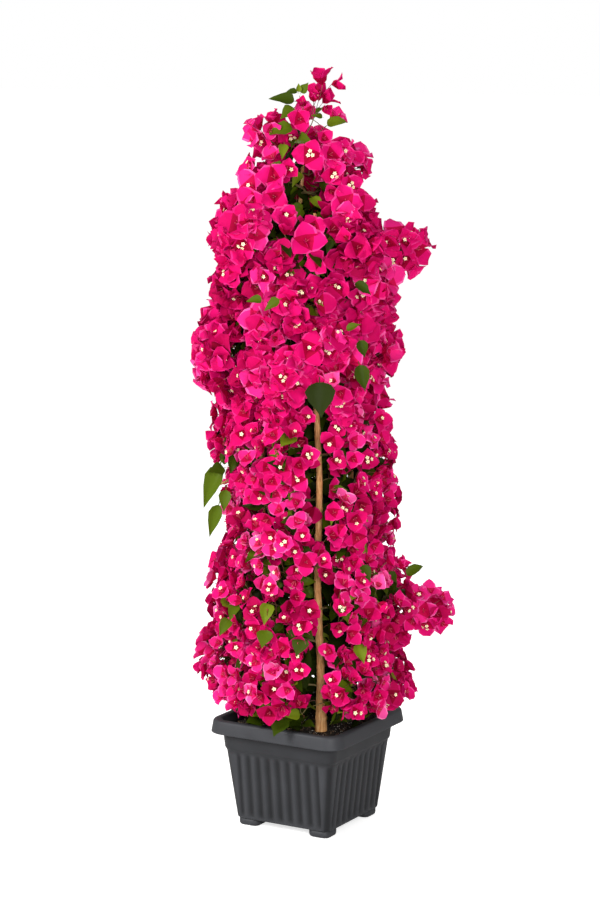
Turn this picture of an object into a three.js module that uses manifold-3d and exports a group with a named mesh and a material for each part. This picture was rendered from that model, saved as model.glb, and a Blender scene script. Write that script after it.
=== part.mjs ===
// A bougainvillea trained up as a flowering column in a square moulded planter.
// Millimetres, +Z up. The origin is on the floor under the middle of the planter, whose walls face +-X and +-Y.
// The planter, its compost, the four trained stems and the side boughs are real shapes. The crown is a set of
// closed, uneven masses of foliage, in tiers round an open core where the stems run.
import * as THREE from "three";
import { mergeVertices } from "three/addons/utils/BufferGeometryUtils.js";
import Module from "manifold-3d";

const wasm = await Module();
wasm.setup();

// --- Driving dimensions -------------------------------------------------------------------------------------

const GAP = 0.6; // clearance kept between neighbouring pieces
const RIM = { half: 150, lean: 5, top: 219, low: 191, ledge: 13, corner: 36 };
const COLLAR = { half: 129, low: 160, step: 5, draft: 3.3, corner: 20 };
const BODY = { topHalf: 122.4, footHalf: 106.8, low: 15, corner: 18 };
const WALL = 3.2;
const FLUTES = { count: 8, pitch: 22.5, depth: 2.6, fade: 7 };
const FOOT = { side: 42, inset: 3.7, corner: 16 };
const DRAIN = { radius: 6, reach: 62 };
const SOIL_TOP = 205;
const CORE = 106; // radius of the open core inside the crown, where the stems run

// Each stem stands near one corner of the planter. Azimuths are degrees from +X towards +Y.
const STEM = { stand: 91, baseRadius: 7.8, flare: 1.55, steps: 10, sides: 8, sway: 3 };
const STEMS = [
  { name: "front_stem", azimuth: -44, turn: -8, top: 1216, draw: 0, tip: 3.8 },
  { name: "right_stem", azimuth: 46, turn: 6, top: 1120, draw: 0.1, tip: 3.6 },
  { name: "back_stem", azimuth: 134, turn: 14, top: 1350, draw: 0.75, tip: 3.2 },
  { name: "left_stem", azimuth: 226, turn: -5, top: 1180, draw: 0, tip: 3.6 },
];

// The crown's tiers, from the bottom up. Each holds masses side by side: edges are the azimuths of the gaps
// between them, and the first mass lies between the first two edges. Each mass has its own reach from the middle,
// its own height and its own half height.
const TIERS = [
  {
    name: "skirt",
    edges: [-52, 44, 122, 216],
    reach: [208, 206, 230, 206],
    z: [304, 294, 306, 290],
    half: [84, 76, 88, 74],
  },
  {
    name: "lower",
    edges: [-50, 34, 134, 210],
    reach: [222, 208, 210, 200],
    z: [464, 446, 472, 438],
    half: [74, 78, 78, 76],
  },
  {
    name: "waist",
    edges: [-53, 48, 118, 226],
    reach: [192, 186, 178, 186],
    z: [616, 604, 622, 594],
    half: [78, 80, 72, 80],
  },
  {
    name: "middle",
    edges: [-51, 36, 132, 219],
    reach: [186, 196, 206, 188],
    z: [766, 770, 778, 762],
    half: [72, 84, 84, 86],
  },
  {
    name: "shoulder",
    edges: [-10, 76, 172, 254],
    reach: [176, 206, 226, 196],
    z: [974, 944, 948, 944],
    half: [72, 88, 84, 90],
  },
  {
    name: "upper",
    edges: [6, 92, 176, 268],
    reach: [178, 206, 204, 202],
    z: [1126, 1126, 1138, 1122],
    half: [78, 92, 92, 88],
  },
  {
    name: "head",
    edges: [-34, 84, 206],
    reach: [126, 126, 144],
    z: [1286, 1284, 1300],
    half: [66, 68, 74],
    core: 6,
  },
];
const EDGE_ROOM = 2; // degrees that a mass keeps from an edge of its tier

// Masses that stand on their own: azimuth, distance out, height, half sizes out, across and up, and how much
// narrower they get from bottom to top.
const SPRAYS = [
  { name: "tip_spray", azimuth: 20, out: 22, z: 1424, half: [50, 40, 66], taper: 0.65 },
  { name: "tip_left_spray", azimuth: 208, out: 76, z: 1394, half: [54, 32, 26], taper: 0.3 },
  { name: "upper_right_spray", azimuth: 28, out: 196, z: 1138, half: [34, 44, 52], taper: 0 },
  { name: "lower_right_spray", azimuth: 31, out: 250, z: 416, half: [48, 42, 46], taper: 0 },
  { name: "back_left_spray", azimuth: 170, out: 236, z: 966, half: [28, 46, 40], taper: 0 },
  { name: "left_leaf_spray", azimuth: 216, out: 194, z: 652, half: [16, 28, 76], taper: 0.2 },
];

// Side boughs run from a stem, at a height on it, to just short of a mass.
const BOUGHS = [
  { name: "lower_right_bough", stem: "right_stem", from: 330, to: "lower_right_spray", radius: 4.2 },
  { name: "upper_right_bough", stem: "right_stem", from: 1060, to: "upper_right_spray", radius: 3.6 },
  { name: "back_left_bough", stem: "back_stem", from: 870, to: "back_left_spray", radius: 3.8 },
  { name: "left_leaf_bough", stem: "left_stem", from: 690, to: "left_leaf_spray", radius: 3.2 },
];

const COLOURS = {
  planter: [0x3c3e41, 0.55],
  compost: [0x2a1d15, 0.95],
  bark: [0x9a7a50, 0.8],
  blossom: [0xd8126f, 0.6],
  leaf: [0x3f6b26, 0.55],
};

// --- Solids -------------------------------------------------------------------------------------------------

const radians = THREE.MathUtils.degToRad;
const polar = (azimuth, out, z) =>
  new THREE.Vector3(out * Math.cos(radians(azimuth)), out * Math.sin(radians(azimuth)), z);

/** A closed geometry through rings of points: each ring runs counter-clockwise about the way the rings go. */
function loft(rings) {
  const count = rings[0].length;
  const points = rings.flat();
  const index = [];
  for (let ring = 0; ring < rings.length - 1; ring++)
    for (let j = 0; j < count; j++) {
      const a = ring * count + j;
      const b = ring * count + ((j + 1) % count);
      index.push(a, b, b + count, a, b + count, a + count);
    }
  for (const [ring, turned] of [
    [0, true],
    [rings.length - 1, false],
  ]) {
    const middle = rings[ring].reduce((sum, p) => sum.add(p), new THREE.Vector3()).divideScalar(count);
    points.push(middle);
    for (let j = 0; j < count; j++) {
      const a = ring * count + j;
      const b = ring * count + ((j + 1) % count);
      index.push(points.length - 1, turned ? b : a, turned ? a : b);
    }
  }
  return new THREE.BufferGeometry().setFromPoints(points).setIndex(index);
}

/** A manifold solid from a closed three.js geometry. */
function solid(geometry) {
  const bare = geometry.clone();
  for (const name of ["normal", "uv"]) bare.deleteAttribute(name);
  const merged = mergeVertices(bare, 1e-3);
  return new wasm.Manifold(
    new wasm.Mesh({
      numProp: 3,
      vertProperties: new Float32Array(merged.attributes.position.array),
      triVerts: new Uint32Array(merged.index.array),
    }),
  );
}

/** The largest body of a manifold solid, as a three.js geometry. */
function geometryOf(made) {
  const whole = made.decompose().sort((a, b) => b.volume() - a.volume())[0];
  const mesh = whole.getMesh();
  return new THREE.BufferGeometry()
    .setAttribute("position", new THREE.BufferAttribute(new Float32Array(mesh.vertProperties), 3))
    .setIndex(new THREE.BufferAttribute(new Uint32Array(mesh.triVerts), 1));
}

const part = new THREE.Group();
part.name = "potted_bougainvillea";

/** Adds one named mesh in one of the part's finishes. */
function add(name, made, finish) {
  const [color, roughness] = COLOURS[finish];
  const mesh = new THREE.Mesh(
    geometryOf(made),
    new THREE.MeshStandardMaterial({ color, roughness, metalness: 0 }),
  );
  mesh.name = name;
  part.add(mesh);
}

// --- Planter and compost ------------------------------------------------------------------------------------

const CORNER_STEPS = 4;

/** One level of the planter: a square with round corners. */
function squareRing(half, corner, z) {
  return ringOf([], half, corner, z);
}

/** The same with grooves along its sides, sunk by a depth. The corners and the ends of each side stay plain. */
function flutedRing(half, corner, z, depth) {
  const waves = 2 * FLUTES.count + 1;
  const pitch = Math.min(FLUTES.pitch, (2 * (half - corner)) / (FLUTES.count + 0.5)) / 2;
  const side = Array.from({ length: waves }, (_, i) => [
    half - (i % 2 ? depth : 0),
    (i - FLUTES.count) * pitch,
  ]);
  return ringOf(side, half, corner, z);
}

/** A level from the points of its +X side, as [x, y], which the other sides repeat. */
function ringOf(side, half, corner, z) {
  const points = [];
  const straight = half - corner;
  const arc = Array.from({ length: CORNER_STEPS + 1 }, (_, i) => (i / CORNER_STEPS) * (Math.PI / 2));
  const outline = [
    ...side,
    ...arc.map((angle) => [straight + corner * Math.cos(angle), straight + corner * Math.sin(angle)]),
  ];
  for (let quarter = 0; quarter < 4; quarter++) {
    const turn = new THREE.Matrix4().makeRotationZ((quarter * Math.PI) / 2);
    points.push(...outline.map(([x, y]) => new THREE.Vector3(x, y, z).applyMatrix4(turn)));
  }
  return points;
}

function planter() {
  const drop = BODY.topHalf - BODY.footHalf;
  const bodyTop = COLLAR.low - COLLAR.step;
  const halfAt = (z) => BODY.footHalf + (drop * (z - BODY.low)) / (bodyTop - BODY.low);
  const level = (z, depth) => flutedRing(halfAt(z), BODY.corner, z, depth);
  const rimTopHalf = RIM.half - RIM.lean;
  const bevel = 2;
  const body = loft([
    level(BODY.low, 0),
    level(BODY.low + FLUTES.fade, FLUTES.depth),
    level(bodyTop - FLUTES.fade, FLUTES.depth),
    level(bodyTop, 0),
  ]);
  const top = loft([
    squareRing(halfAt(bodyTop) - 1, BODY.corner, bodyTop - 1),
    squareRing(COLLAR.half - COLLAR.draft, COLLAR.corner, COLLAR.low),
    squareRing(COLLAR.half, COLLAR.corner, RIM.low),
    squareRing(RIM.half, RIM.corner, RIM.low),
    squareRing(rimTopHalf, RIM.corner - 3, RIM.top - bevel),
    squareRing(rimTopHalf - bevel, RIM.corner - 5, RIM.top),
  ]);
  const inside = (half, corner, z) => squareRing(half - WALL, Math.max(corner - WALL, 4), z);
  const mouth = rimTopHalf - RIM.ledge;
  const cavity = loft([
    inside(halfAt(BODY.low + WALL), BODY.corner, BODY.low + WALL),
    inside(BODY.topHalf - FLUTES.depth, BODY.corner, bodyTop),
    inside(COLLAR.half - COLLAR.draft, COLLAR.corner, COLLAR.low),
    inside(COLLAR.half, COLLAR.corner, RIM.low),
    squareRing(mouth, COLLAR.corner, RIM.top + 1),
  ]);
  let made = solid(body).add(solid(top)).subtract(solid(cavity));
  for (let side = 0; side < 4; side++) {
    made = made.add(foot(side));
    const drill = new THREE.CylinderGeometry(DRAIN.radius, DRAIN.radius, 30, 12);
    drill.rotateX(Math.PI / 2).translate(...polar(side * 90, DRAIN.reach, BODY.low).toArray());
    made = made.subtract(solid(drill));
  }
  return made;
}

/** One of the four pads that the planter stands on, rounded to follow the planter's corner. */
function foot(side) {
  const outer = BODY.footHalf - FOOT.inset;
  const shape = new THREE.Shape();
  const inner = outer - FOOT.side;
  shape.moveTo(inner, inner);
  shape.lineTo(outer, inner);
  shape.lineTo(outer, outer - FOOT.corner);
  shape.absarc(outer - FOOT.corner, outer - FOOT.corner, FOOT.corner, 0, Math.PI / 2);
  shape.lineTo(inner, outer);
  const pad = new THREE.ExtrudeGeometry(shape, {
    depth: BODY.low + 1,
    bevelEnabled: false,
    curveSegments: CORNER_STEPS,
  });
  return solid(pad.rotateZ((side * Math.PI) / 2));
}

function compost() {
  const clear = GAP + WALL;
  const bodyTop = COLLAR.low - COLLAR.step;
  const floor = BODY.low + WALL + GAP;
  const ring = (half, z) => squareRing(half - clear, BODY.corner - WALL, z);
  const topHalf = COLLAR.half + 1;
  return solid(
    loft([
      ring(BODY.footHalf, floor),
      ring(BODY.topHalf - FLUTES.depth - 1, bodyTop),
      ring(COLLAR.half - COLLAR.draft, COLLAR.low + 2),
      ring(COLLAR.half, RIM.low),
      ring(topHalf, SOIL_TOP - 4),
      ring(topHalf - 22, SOIL_TOP),
    ]),
  );
}

// --- Stems and boughs ---------------------------------------------------------------------------------------

/** A tapering limb along a smooth curve, flat at both ends. */
function limb(curve, radiusAt, steps, sides, grow = 0) {
  const frames = curve.computeFrenetFrames(steps, false);
  const rings = [];
  for (let i = 0; i <= steps; i++) {
    const at = curve.getPointAt(i / steps);
    const radius = radiusAt(i / steps) + grow;
    const ring = [];
    for (let j = 0; j < sides; j++) {
      const angle = (j / sides) * 2 * Math.PI;
      ring.push(
        at
          .clone()
          .addScaledVector(frames.normals[i], radius * Math.cos(angle))
          .addScaledVector(frames.binormals[i], radius * Math.sin(angle)),
      );
    }
    rings.push(ring);
  }
  return solid(loft(rings));
}

/** A stem's middle line: straight up at the foot, then a slight sway as it draws in towards the middle. */
function stemCurve(stem) {
  const points = [];
  const steps = 9;
  for (let i = 0; i <= steps; i++) {
    const share = i / steps;
    const sway = STEM.sway * Math.sin(5.1 * share * Math.PI + stem.azimuth) * Math.min(1, 4 * share);
    const at = polar(
      stem.azimuth + stem.turn * share,
      STEM.stand * (1 - stem.draw * share ** 3) + sway,
      SOIL_TOP + GAP + share * (stem.top - SOIL_TOP),
    );
    points.push(at.add(polar(stem.azimuth + 90, sway, 0)));
  }
  points[1].x = points[0].x;
  points[1].y = points[0].y;
  return new THREE.CatmullRomCurve3(points);
}

function stemRadius(stem) {
  return (share) => {
    const flare = 1 + (STEM.flare - 1) * Math.exp(-share * 60);
    return (STEM.baseRadius + (stem.tip - STEM.baseRadius) * share) * flare;
  };
}

/** A side bough: it leaves its stem rising, and arches out to a point just short of its mass. */
function boughCurve(bough) {
  const stem = STEMS.find((s) => s.name === bough.stem);
  const curve = stemCurve(stem);
  const share = (bough.from - SOIL_TOP) / (stem.top - SOIL_TOP);
  const start = curve.getPointAt(share);
  const mass = SPRAYS.find((c) => c.name === bough.to);
  const end = polar(mass.azimuth, mass.out - mass.half[0] * 0.6, mass.z + mass.half[2] * 0.35);
  const way = end.clone().sub(start);
  const clear = stemRadius(stem)(share) + bough.radius + GAP;
  const flat = new THREE.Vector3(way.x, way.y, 0).normalize();
  start.addScaledVector(flat, clear);
  const knee = start.clone().lerp(end, 0.5).add(new THREE.Vector3(0, 0, way.length() * 0.12));
  return new THREE.CatmullRomCurve3([start, knee, end]);
}

// --- Crown --------------------------------------------------------------------------------------------------

const BULGE = 3.6; // over 2, so that a mass is fuller than an ellipsoid
const LUMPS = 0.08;

/** Points of an uneven pillow, about one unit from the middle each way. Each seed gives its own lumps. */
function pillow(seed, detail) {
  const ball = new THREE.IcosahedronGeometry(1, detail);
  for (const name of ["normal", "uv"]) ball.deleteAttribute(name);
  const places = ball.attributes.position;
  for (let i = 0; i < places.count; i++) {
    const p = new THREE.Vector3().fromBufferAttribute(places, i);
    const size = Math.abs(p.x) ** BULGE + Math.abs(p.y) ** BULGE + Math.abs(p.z) ** BULGE;
    const lumps =
      Math.sin(3.7 * p.x + 1.9 * seed) * Math.cos(4.3 * p.z - 2.3 * seed) +
      0.6 * Math.sin(5.9 * p.y + 3.1 * p.z + seed);
    p.multiplyScalar((1 + LUMPS * lumps) / size ** (1 / BULGE));
    places.setXYZ(i, p.x, p.y, p.z);
  }
  return ball;
}

/** Moves each point of a pillow to where place puts it. */
function shaped(pillowShape, place) {
  const places = pillowShape.attributes.position;
  for (let i = 0; i < places.count; i++) {
    const at = place(places.getX(i), places.getY(i), places.getZ(i));
    places.setXYZ(i, at.x, at.y, at.z);
  }
  return solid(pillowShape);
}

/** One mass of a tier, wrapped round the core. grow adds clearance all round. */
function tierMass(tier, i, seed, grow = 0) {
  const edges = [...tier.edges, tier.edges[0] + 360];
  const core = tier.core ?? CORE;
  const azimuth = (edges[i] + edges[i + 1]) / 2;
  const middle = (tier.reach[i] + core) / 2;
  const depth = (tier.reach[i] - core) / 2 + grow;
  const sector = (edges[i + 1] - edges[i]) / 2 - EDGE_ROOM + THREE.MathUtils.radToDeg(grow / middle);
  return shaped(pillow(seed, 2), (out, across, up) =>
    polar(azimuth + sector * across, middle + depth * out, tier.z[i] + (tier.half[i] + grow) * up),
  );
}

/** A mass that stands on its own, its first half size pointing out from the middle. */
function sprayMass(spray, seed, grow = 0) {
  const [deep, wide, high] = spray.half.map((half) => half + grow);
  return shaped(pillow(seed, 1), (out, across, up) => {
    const narrowing = 1 - (spray.taper * (up + 1)) / 2;
    return new THREE.Vector3(deep * narrowing * out, wide * narrowing * across, high * up)
      .applyAxisAngle(new THREE.Vector3(0, 0, 1), radians(spray.azimuth))
      .add(polar(spray.azimuth, spray.out, spray.z));
  });
}

// --- Assembly -----------------------------------------------------------------------------------------------

add("planter", planter(), "planter");
add("compost", compost(), "compost");

// The planter and every piece of wood cut their room out of the masses, and each mass out of those after it.
const planterRoom = new THREE.BoxGeometry(3 * RIM.half, 3 * RIM.half, 2 * (RIM.top + GAP));
const wood = [];

for (const stem of STEMS) {
  const [curve, radius] = [stemCurve(stem), stemRadius(stem)];
  add(stem.name, limb(curve, radius, STEM.steps, STEM.sides), "bark");
  wood.push(limb(curve, radius, STEM.steps, STEM.sides, 2 * GAP));
}
const trunks = [...wood];
for (const bough of BOUGHS) {
  const curve = boughCurve(bough);
  const radius = (share) => bough.radius * (1 - 0.45 * share);
  let made = limb(curve, radius, 5, 6);
  for (const trunk of trunks) made = made.subtract(trunk);
  add(bough.name, made, "bark");
  wood.push(limb(curve, radius, 5, 6, 2 * GAP));
}
const taken = [solid(planterRoom), ...wood];

/** Adds a mass, less the room of everything before it. */
function addMass(name, made, room, finish = "blossom") {
  add(name, taken.reduce((left, other) => left.subtract(other), made), finish);
  taken.push(room);
}

SPRAYS.forEach((spray, i) => {
  const seed = i + 40;
  const finish = spray.name === "left_leaf_spray" ? "leaf" : "blossom";
  addMass(spray.name, sprayMass(spray, seed), sprayMass(spray, seed, GAP), finish);
});
TIERS.forEach((tier, level) =>
  tier.edges.forEach((_, i) => {
    const seed = 4 * level + i + 1;
    addMass(`${tier.name}_mass_${i + 1}`, tierMass(tier, i, seed), tierMass(tier, i, seed, GAP));
  }),
);

export default part;
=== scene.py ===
"""A bougainvillea trained as a flowering column in a square moulded planter.

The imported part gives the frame: the planter, its compost, the trained stems, the side boughs and the
masses of foliage. Here the planter gets its ribs and rolled rim, the stems get their bark, and the masses are
replaced by what grows on the stems: boughs, twigs, leaves, and sprays of bracts in threes with their tiny
cream flowers. Everything is in metres.
"""

import math
import random

import bmesh
import bpy
import numpy as np
from mathutils import Matrix, Quaternion, Vector, noise
from mathutils.bvhtree import BVHTree


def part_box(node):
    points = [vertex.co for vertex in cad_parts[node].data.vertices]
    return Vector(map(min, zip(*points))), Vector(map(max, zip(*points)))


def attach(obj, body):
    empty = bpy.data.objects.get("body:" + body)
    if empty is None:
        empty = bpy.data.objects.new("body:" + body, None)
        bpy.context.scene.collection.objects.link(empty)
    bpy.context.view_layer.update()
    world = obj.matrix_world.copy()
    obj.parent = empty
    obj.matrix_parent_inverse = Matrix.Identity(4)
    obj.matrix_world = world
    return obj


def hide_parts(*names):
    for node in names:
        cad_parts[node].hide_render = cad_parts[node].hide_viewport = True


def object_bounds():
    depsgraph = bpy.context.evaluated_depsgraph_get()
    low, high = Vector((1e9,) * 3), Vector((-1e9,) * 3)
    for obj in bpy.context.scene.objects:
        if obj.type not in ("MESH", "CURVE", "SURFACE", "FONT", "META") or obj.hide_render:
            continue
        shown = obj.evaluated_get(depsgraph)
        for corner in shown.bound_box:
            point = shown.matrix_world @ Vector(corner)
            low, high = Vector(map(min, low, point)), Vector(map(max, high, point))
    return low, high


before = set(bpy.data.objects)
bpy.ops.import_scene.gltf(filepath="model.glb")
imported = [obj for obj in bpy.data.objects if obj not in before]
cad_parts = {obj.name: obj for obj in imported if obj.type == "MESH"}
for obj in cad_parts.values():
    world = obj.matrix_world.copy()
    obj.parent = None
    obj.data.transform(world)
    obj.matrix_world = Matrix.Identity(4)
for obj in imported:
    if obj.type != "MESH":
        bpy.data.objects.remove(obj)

bl_info = {
    "name": "Potted bougainvillea",
    "version": (1, 0, 0),
    "blender": (4, 5, 0),
    "location": "View3D > Sidebar > Bougainvillea",
    "description": "Builds a column of bougainvillea in a square planter on its packed frame",
    "category": "Object",
}

MM = 0.001
BODY = "root"
UP = Vector((0, 0, 1))
CAD_LOW, CAD_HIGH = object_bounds()

STEMS = ["front_stem", "right_stem", "back_stem", "left_stem"]
BOUGHS = [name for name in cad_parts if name.endswith("_bough")]
TIER_MASSES = [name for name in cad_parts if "_mass_" in name]
SPRAY_MASSES = [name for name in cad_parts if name.endswith("_spray")]

# The way that the planter is looked at: one corner in front, turned a little to show more of one wall.
VIEW_AZIMUTH = math.radians(30.46)
TOWARD = Vector((math.sin(VIEW_AZIMUTH), -math.cos(VIEW_AZIMUTH), 0))
RIGHT = Vector((math.cos(VIEW_AZIMUTH), math.sin(VIEW_AZIMUTH), 0))


# --- Settings -------------------------------------------------------------------------------------


def length_of(name, description, default):
    """A setting that is a length in metres."""
    return bpy.props.FloatProperty(name=name, description=description, default=default, unit="LENGTH")


def count_of(name, description, default):
    """A setting that is a whole number."""
    return bpy.props.IntProperty(name=name, description=description, default=default)


class PlanterSettings(bpy.types.PropertyGroup):
    rim_low: length_of("Rim's lower edge", "Height of the rim's lower edge", 0.1913)
    rim_lean: length_of("Rim lean", "How far the rim leans in towards its top", 0.0046)
    lip: length_of("Lip", "Width of the rim's flat top", 0.015)
    rim_corner: length_of("Rim corner", "Corner radius of the rim", 0.036)
    body_corner: length_of("Body corner", "Corner radius of the ribbed wall", 0.018)
    collar_low: length_of("Collar's lower edge", "Height of the collar's step", 0.1602)
    ribs: count_of("Ribs", "Ribs on each wall", 8)
    rib_pitch: length_of("Rib pitch", "Distance between ribs", 0.0225)
    groove_depth: length_of("Groove depth", "Depth of the grooves between the ribs", 0.0032)
    foot_height: length_of("Foot height", "Height of the corner feet", 0.0148)
    foot_side: length_of("Foot side", "Length of each side of a foot", 0.046)
    colour: bpy.props.StringProperty(name="Plastic", description="sRGB hex colour", default="343538")


class CompostSettings(bpy.types.PropertyGroup):
    crumbs: count_of("Crumbs", "Crumbs for each square metre", 26000)
    chips: count_of("Chips", "Bark chips for each square metre", 9000)
    perlite: count_of("Perlite", "White perlite grains for each square metre", 4200)
    relief: length_of("Relief", "Height of the surface's lumps", 0.004)


class GrowthSettings(bpy.types.PropertyGroup):
    seed: count_of("Seed", "Seed of the branching rule", 7)
    step: length_of("Step", "Length of one step of a twig", 0.016)
    spacing_low: length_of("Low spacing", "Distance between blooms low down", 0.0285)
    spacing_high: length_of("High spacing", "Distance between blooms high up", 0.034)
    spray_spacing: length_of("Spray spacing", "Distance between crowded sprays", 0.074)
    group: count_of("Spray", "Blooms in one spray", 5)
    tip_radius: length_of("Twig end", "Radius of a twig's end", 0.0006)


class BloomSettings(bpy.types.PropertyGroup):
    bract_low: length_of("Low bract", "Length of a bract low down", 0.0275)
    bract_high: length_of("High bract", "Length of a bract high up", 0.039)
    turn: bpy.props.FloatProperty(name="Turn", description="How unevenly the blooms face", default=0.42)


class LeafSettings(bpy.types.PropertyGroup):
    short: length_of("Short leaf", "Length of the shortest leaf", 0.034)
    long: length_of("Long leaf", "Length of the longest leaf", 0.056)
    share: bpy.props.FloatProperty(
        name="Share", description="Share of the twigs' joints that bear a leaf", default=0.5
    )


class StageSettings(bpy.types.PropertyGroup):
    distance: length_of("Distance", "From the camera to the planter's axis", 5.0)
    height: length_of("Height", "Height of the camera", 1.547)
    aside: length_of("Aside", "How far left of the axis the camera stands", 0.0162)
    pitch: bpy.props.FloatProperty(
        name="Pitch", description="How far the camera looks down", default=math.radians(9.07), subtype="ANGLE"
    )
    lens: bpy.props.FloatProperty(name="Lens", description="Focal length in millimetres", default=103.24)


# --- Small tools ----------------------------------------------------------------------------------


def linear(colour):
    """An sRGB hex colour as linear red, green, blue and alpha."""
    parts = [int(colour[i : i + 2], 16) / 255 for i in (0, 2, 4)]
    return (*[c / 12.92 if c <= 0.04045 else ((c + 0.055) / 1.055) ** 2.4 for c in parts], 1.0)


def add_node(tree, kind, inputs=None, **settings):
    """Adds a node. inputs maps its sockets to values, or to the sockets that are linked to them."""
    node = tree.nodes.new(kind)
    for name, value in settings.items():
        setattr(node, name, value)
    for name, value in (inputs or {}).items():
        if isinstance(value, bpy.types.NodeSocket):
            tree.links.new(value, node.inputs[name])
        else:
            node.inputs[name].default_value = value
    return node


def noise_node(tree, place, size, detail, **more):
    """Cloudy noise, whose lumps are about this size."""
    inputs = {"Vector": place, "Scale": 1 / size, "Detail": detail, **more}
    return add_node(tree, "ShaderNodeTexNoise", inputs).outputs["Fac"]


def ramp_node(tree, value, *stops):
    """A colour ramp through stops of (position, linear colour)."""
    node = add_node(tree, "ShaderNodeValToRGB", {"Fac": value})
    elements = node.color_ramp.elements
    for element, (position, colour) in zip(elements, (stops[0], stops[-1])):
        element.position, element.color = position, colour
    for position, colour in stops[1:-1]:
        elements.new(position).color = colour
    return node.outputs["Color"]


def range_node(tree, value, low, high, to_low, to_high):
    """Maps a value from between low and high to between to_low and to_high."""
    inputs = {"Value": value, "From Min": low, "From Max": high, "To Min": to_low, "To Max": to_high}
    return add_node(tree, "ShaderNodeMapRange", inputs).outputs["Result"]


def bump_node(tree, height, strength, depth):
    inputs = {"Height": height, "Strength": strength, "Distance": depth}
    return add_node(tree, "ShaderNodeBump", inputs).outputs["Normal"]


def wire(tree, shader, **sockets):
    """Links these outputs to the shader's inputs."""
    for name, socket in sockets.items():
        tree.links.new(socket, shader.inputs[name.replace("_", " ")])


def node_group(name, output, **inputs):
    """A new geometry tree, with the sockets that it is given. inputs maps their names to their kinds."""
    tree = bpy.data.node_groups.new(name, "GeometryNodeTree")
    for socket, kind in inputs.items():
        tree.interface.new_socket(socket, in_out="INPUT", socket_type="NodeSocket" + kind)
    tree.interface.new_socket(output, in_out="OUTPUT", socket_type="NodeSocketGeometry")
    return tree, add_node(tree, "NodeGroupInput").outputs


def end_group(tree, output, geometry, material):
    """Ends a tree: its instances are made real, in one material."""
    real = add_node(tree, "GeometryNodeRealizeInstances", {"Geometry": geometry})
    done = add_node(tree, "GeometryNodeSetMaterial", {"Geometry": real.outputs[0], "Material": material})
    add_node(tree, "NodeGroupOutput", {output: done.outputs[0]})


def new_object(name, data):
    """An object that shows this data, linked to the scene."""
    made = bpy.data.objects.new(name, data)
    bpy.context.scene.collection.objects.link(made)
    return made


def new_material(name, **plain):
    """A material with one Principled shader, whose sockets take the plain values given."""
    material = bpy.data.materials.new(name)
    material.use_nodes = True
    shader = material.node_tree.nodes["Principled BSDF"]
    for socket, value in plain.items():
        shader.inputs[socket.replace("_", " ")].default_value = value
    material.diffuse_color = plain.get("Base_Color", (0.5, 0.5, 0.5, 1))
    return material, material.node_tree, shader


def plain_material(name, colour, roughness, **plain):
    """One plain colour, as every kind of foliage takes."""
    return new_material(name, Base_Color=linear(colour), Roughness=roughness, **plain)[0]


def mesh_object(name, vertices, faces, materials=(), smooth=True, **values):
    """A new object at the origin, with its faces turned outwards.

    values hold the corners' attributes by name.
    """
    mesh = bpy.data.meshes.new(name)
    mesh.from_pydata([tuple(v) for v in vertices], [], faces)
    for attribute, numbers in values.items():
        mesh.attributes.new(attribute, "FLOAT", "POINT").data.foreach_set("value", numbers)
    shape = bmesh.new()
    shape.from_mesh(mesh)
    bmesh.ops.remove_doubles(shape, verts=shape.verts, dist=1e-6)
    bmesh.ops.recalc_face_normals(shape, faces=shape.faces)
    shape.to_mesh(mesh)
    shape.free()
    mesh.polygons.foreach_set("use_smooth", [smooth] * len(mesh.polygons))
    for material in materials:
        mesh.materials.append(material)
    return new_object(name, mesh)


def keep(piece, replaced=()):
    """The piece belongs to the object, and stands for these nodes of the frame."""
    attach(piece, BODY)
    if replaced:
        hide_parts(*replaced)


def node_points(name):
    """A CAD node's corners, in metres."""
    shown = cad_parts[name]
    return [shown.matrix_world @ v.co for v in shown.data.vertices]


def node_tree(names):
    """A search tree over the surfaces of several CAD nodes."""
    points, faces = [], []
    for name in names:
        start = len(points)
        points += node_points(name)
        faces += [[start + i for i in p.vertices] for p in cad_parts[name].data.polygons]
    return BVHTree.FromPolygons(points, faces)


def way_out(angle):
    """The level direction at an azimuth in radians."""
    return Vector((math.cos(angle), math.sin(angle), 0))


def smoothstep(low, high, value):
    share = min(1.0, max(0.0, (value - low) / (high - low)))
    return share * share * (3 - 2 * share)


def mix(a, b, share):
    return a + (b - a) * share


# --- Planter --------------------------------------------------------------------------------------


def rounded(profile):
    """A profile of (half width, height, corner radius, bend), with each bend rounded off."""
    points, steps = [], 5
    for i, (half, z, corner, bend) in enumerate(profile):
        here = Vector((half, z))
        if bend == 0 or i in (0, len(profile) - 1):
            points.append((half, z, corner))
            continue
        back = Vector(profile[i - 1][:2]) - here
        on = Vector(profile[i + 1][:2]) - here
        reach = min(bend, back.length * 0.48, on.length * 0.48)
        start, end = here + back.normalized() * reach, here + on.normalized() * reach
        for k in range(steps + 1):
            t = k / steps
            at = start * (1 - t) ** 2 + here * 2 * t * (1 - t) + end * t**2
            points.append((at.x, at.y, corner))
    return points


def square_ring(half, corner, z, inset=lambda along: 0.0, samples=128, arc=8):
    """One level of a square with round corners. inset sinks its sides by a depth along them."""
    corner = min(corner, half)
    straight = half - corner
    side = []
    for i in range(samples + 1):
        along = (i / samples * 2 - 1) * straight
        side.append((half - inset(along), along))
    for i in range(1, arc):
        angle = i / arc * math.pi / 2
        side.append((straight + corner * math.cos(angle), straight + corner * math.sin(angle)))
    ring = []
    for quarter in range(4):
        cos, sin = [(1, 0), (0, 1), (-1, 0), (0, -1)][quarter]
        ring += [Vector((x * cos - y * sin, x * sin + y * cos, z)) for x, y in side]
    return ring


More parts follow.
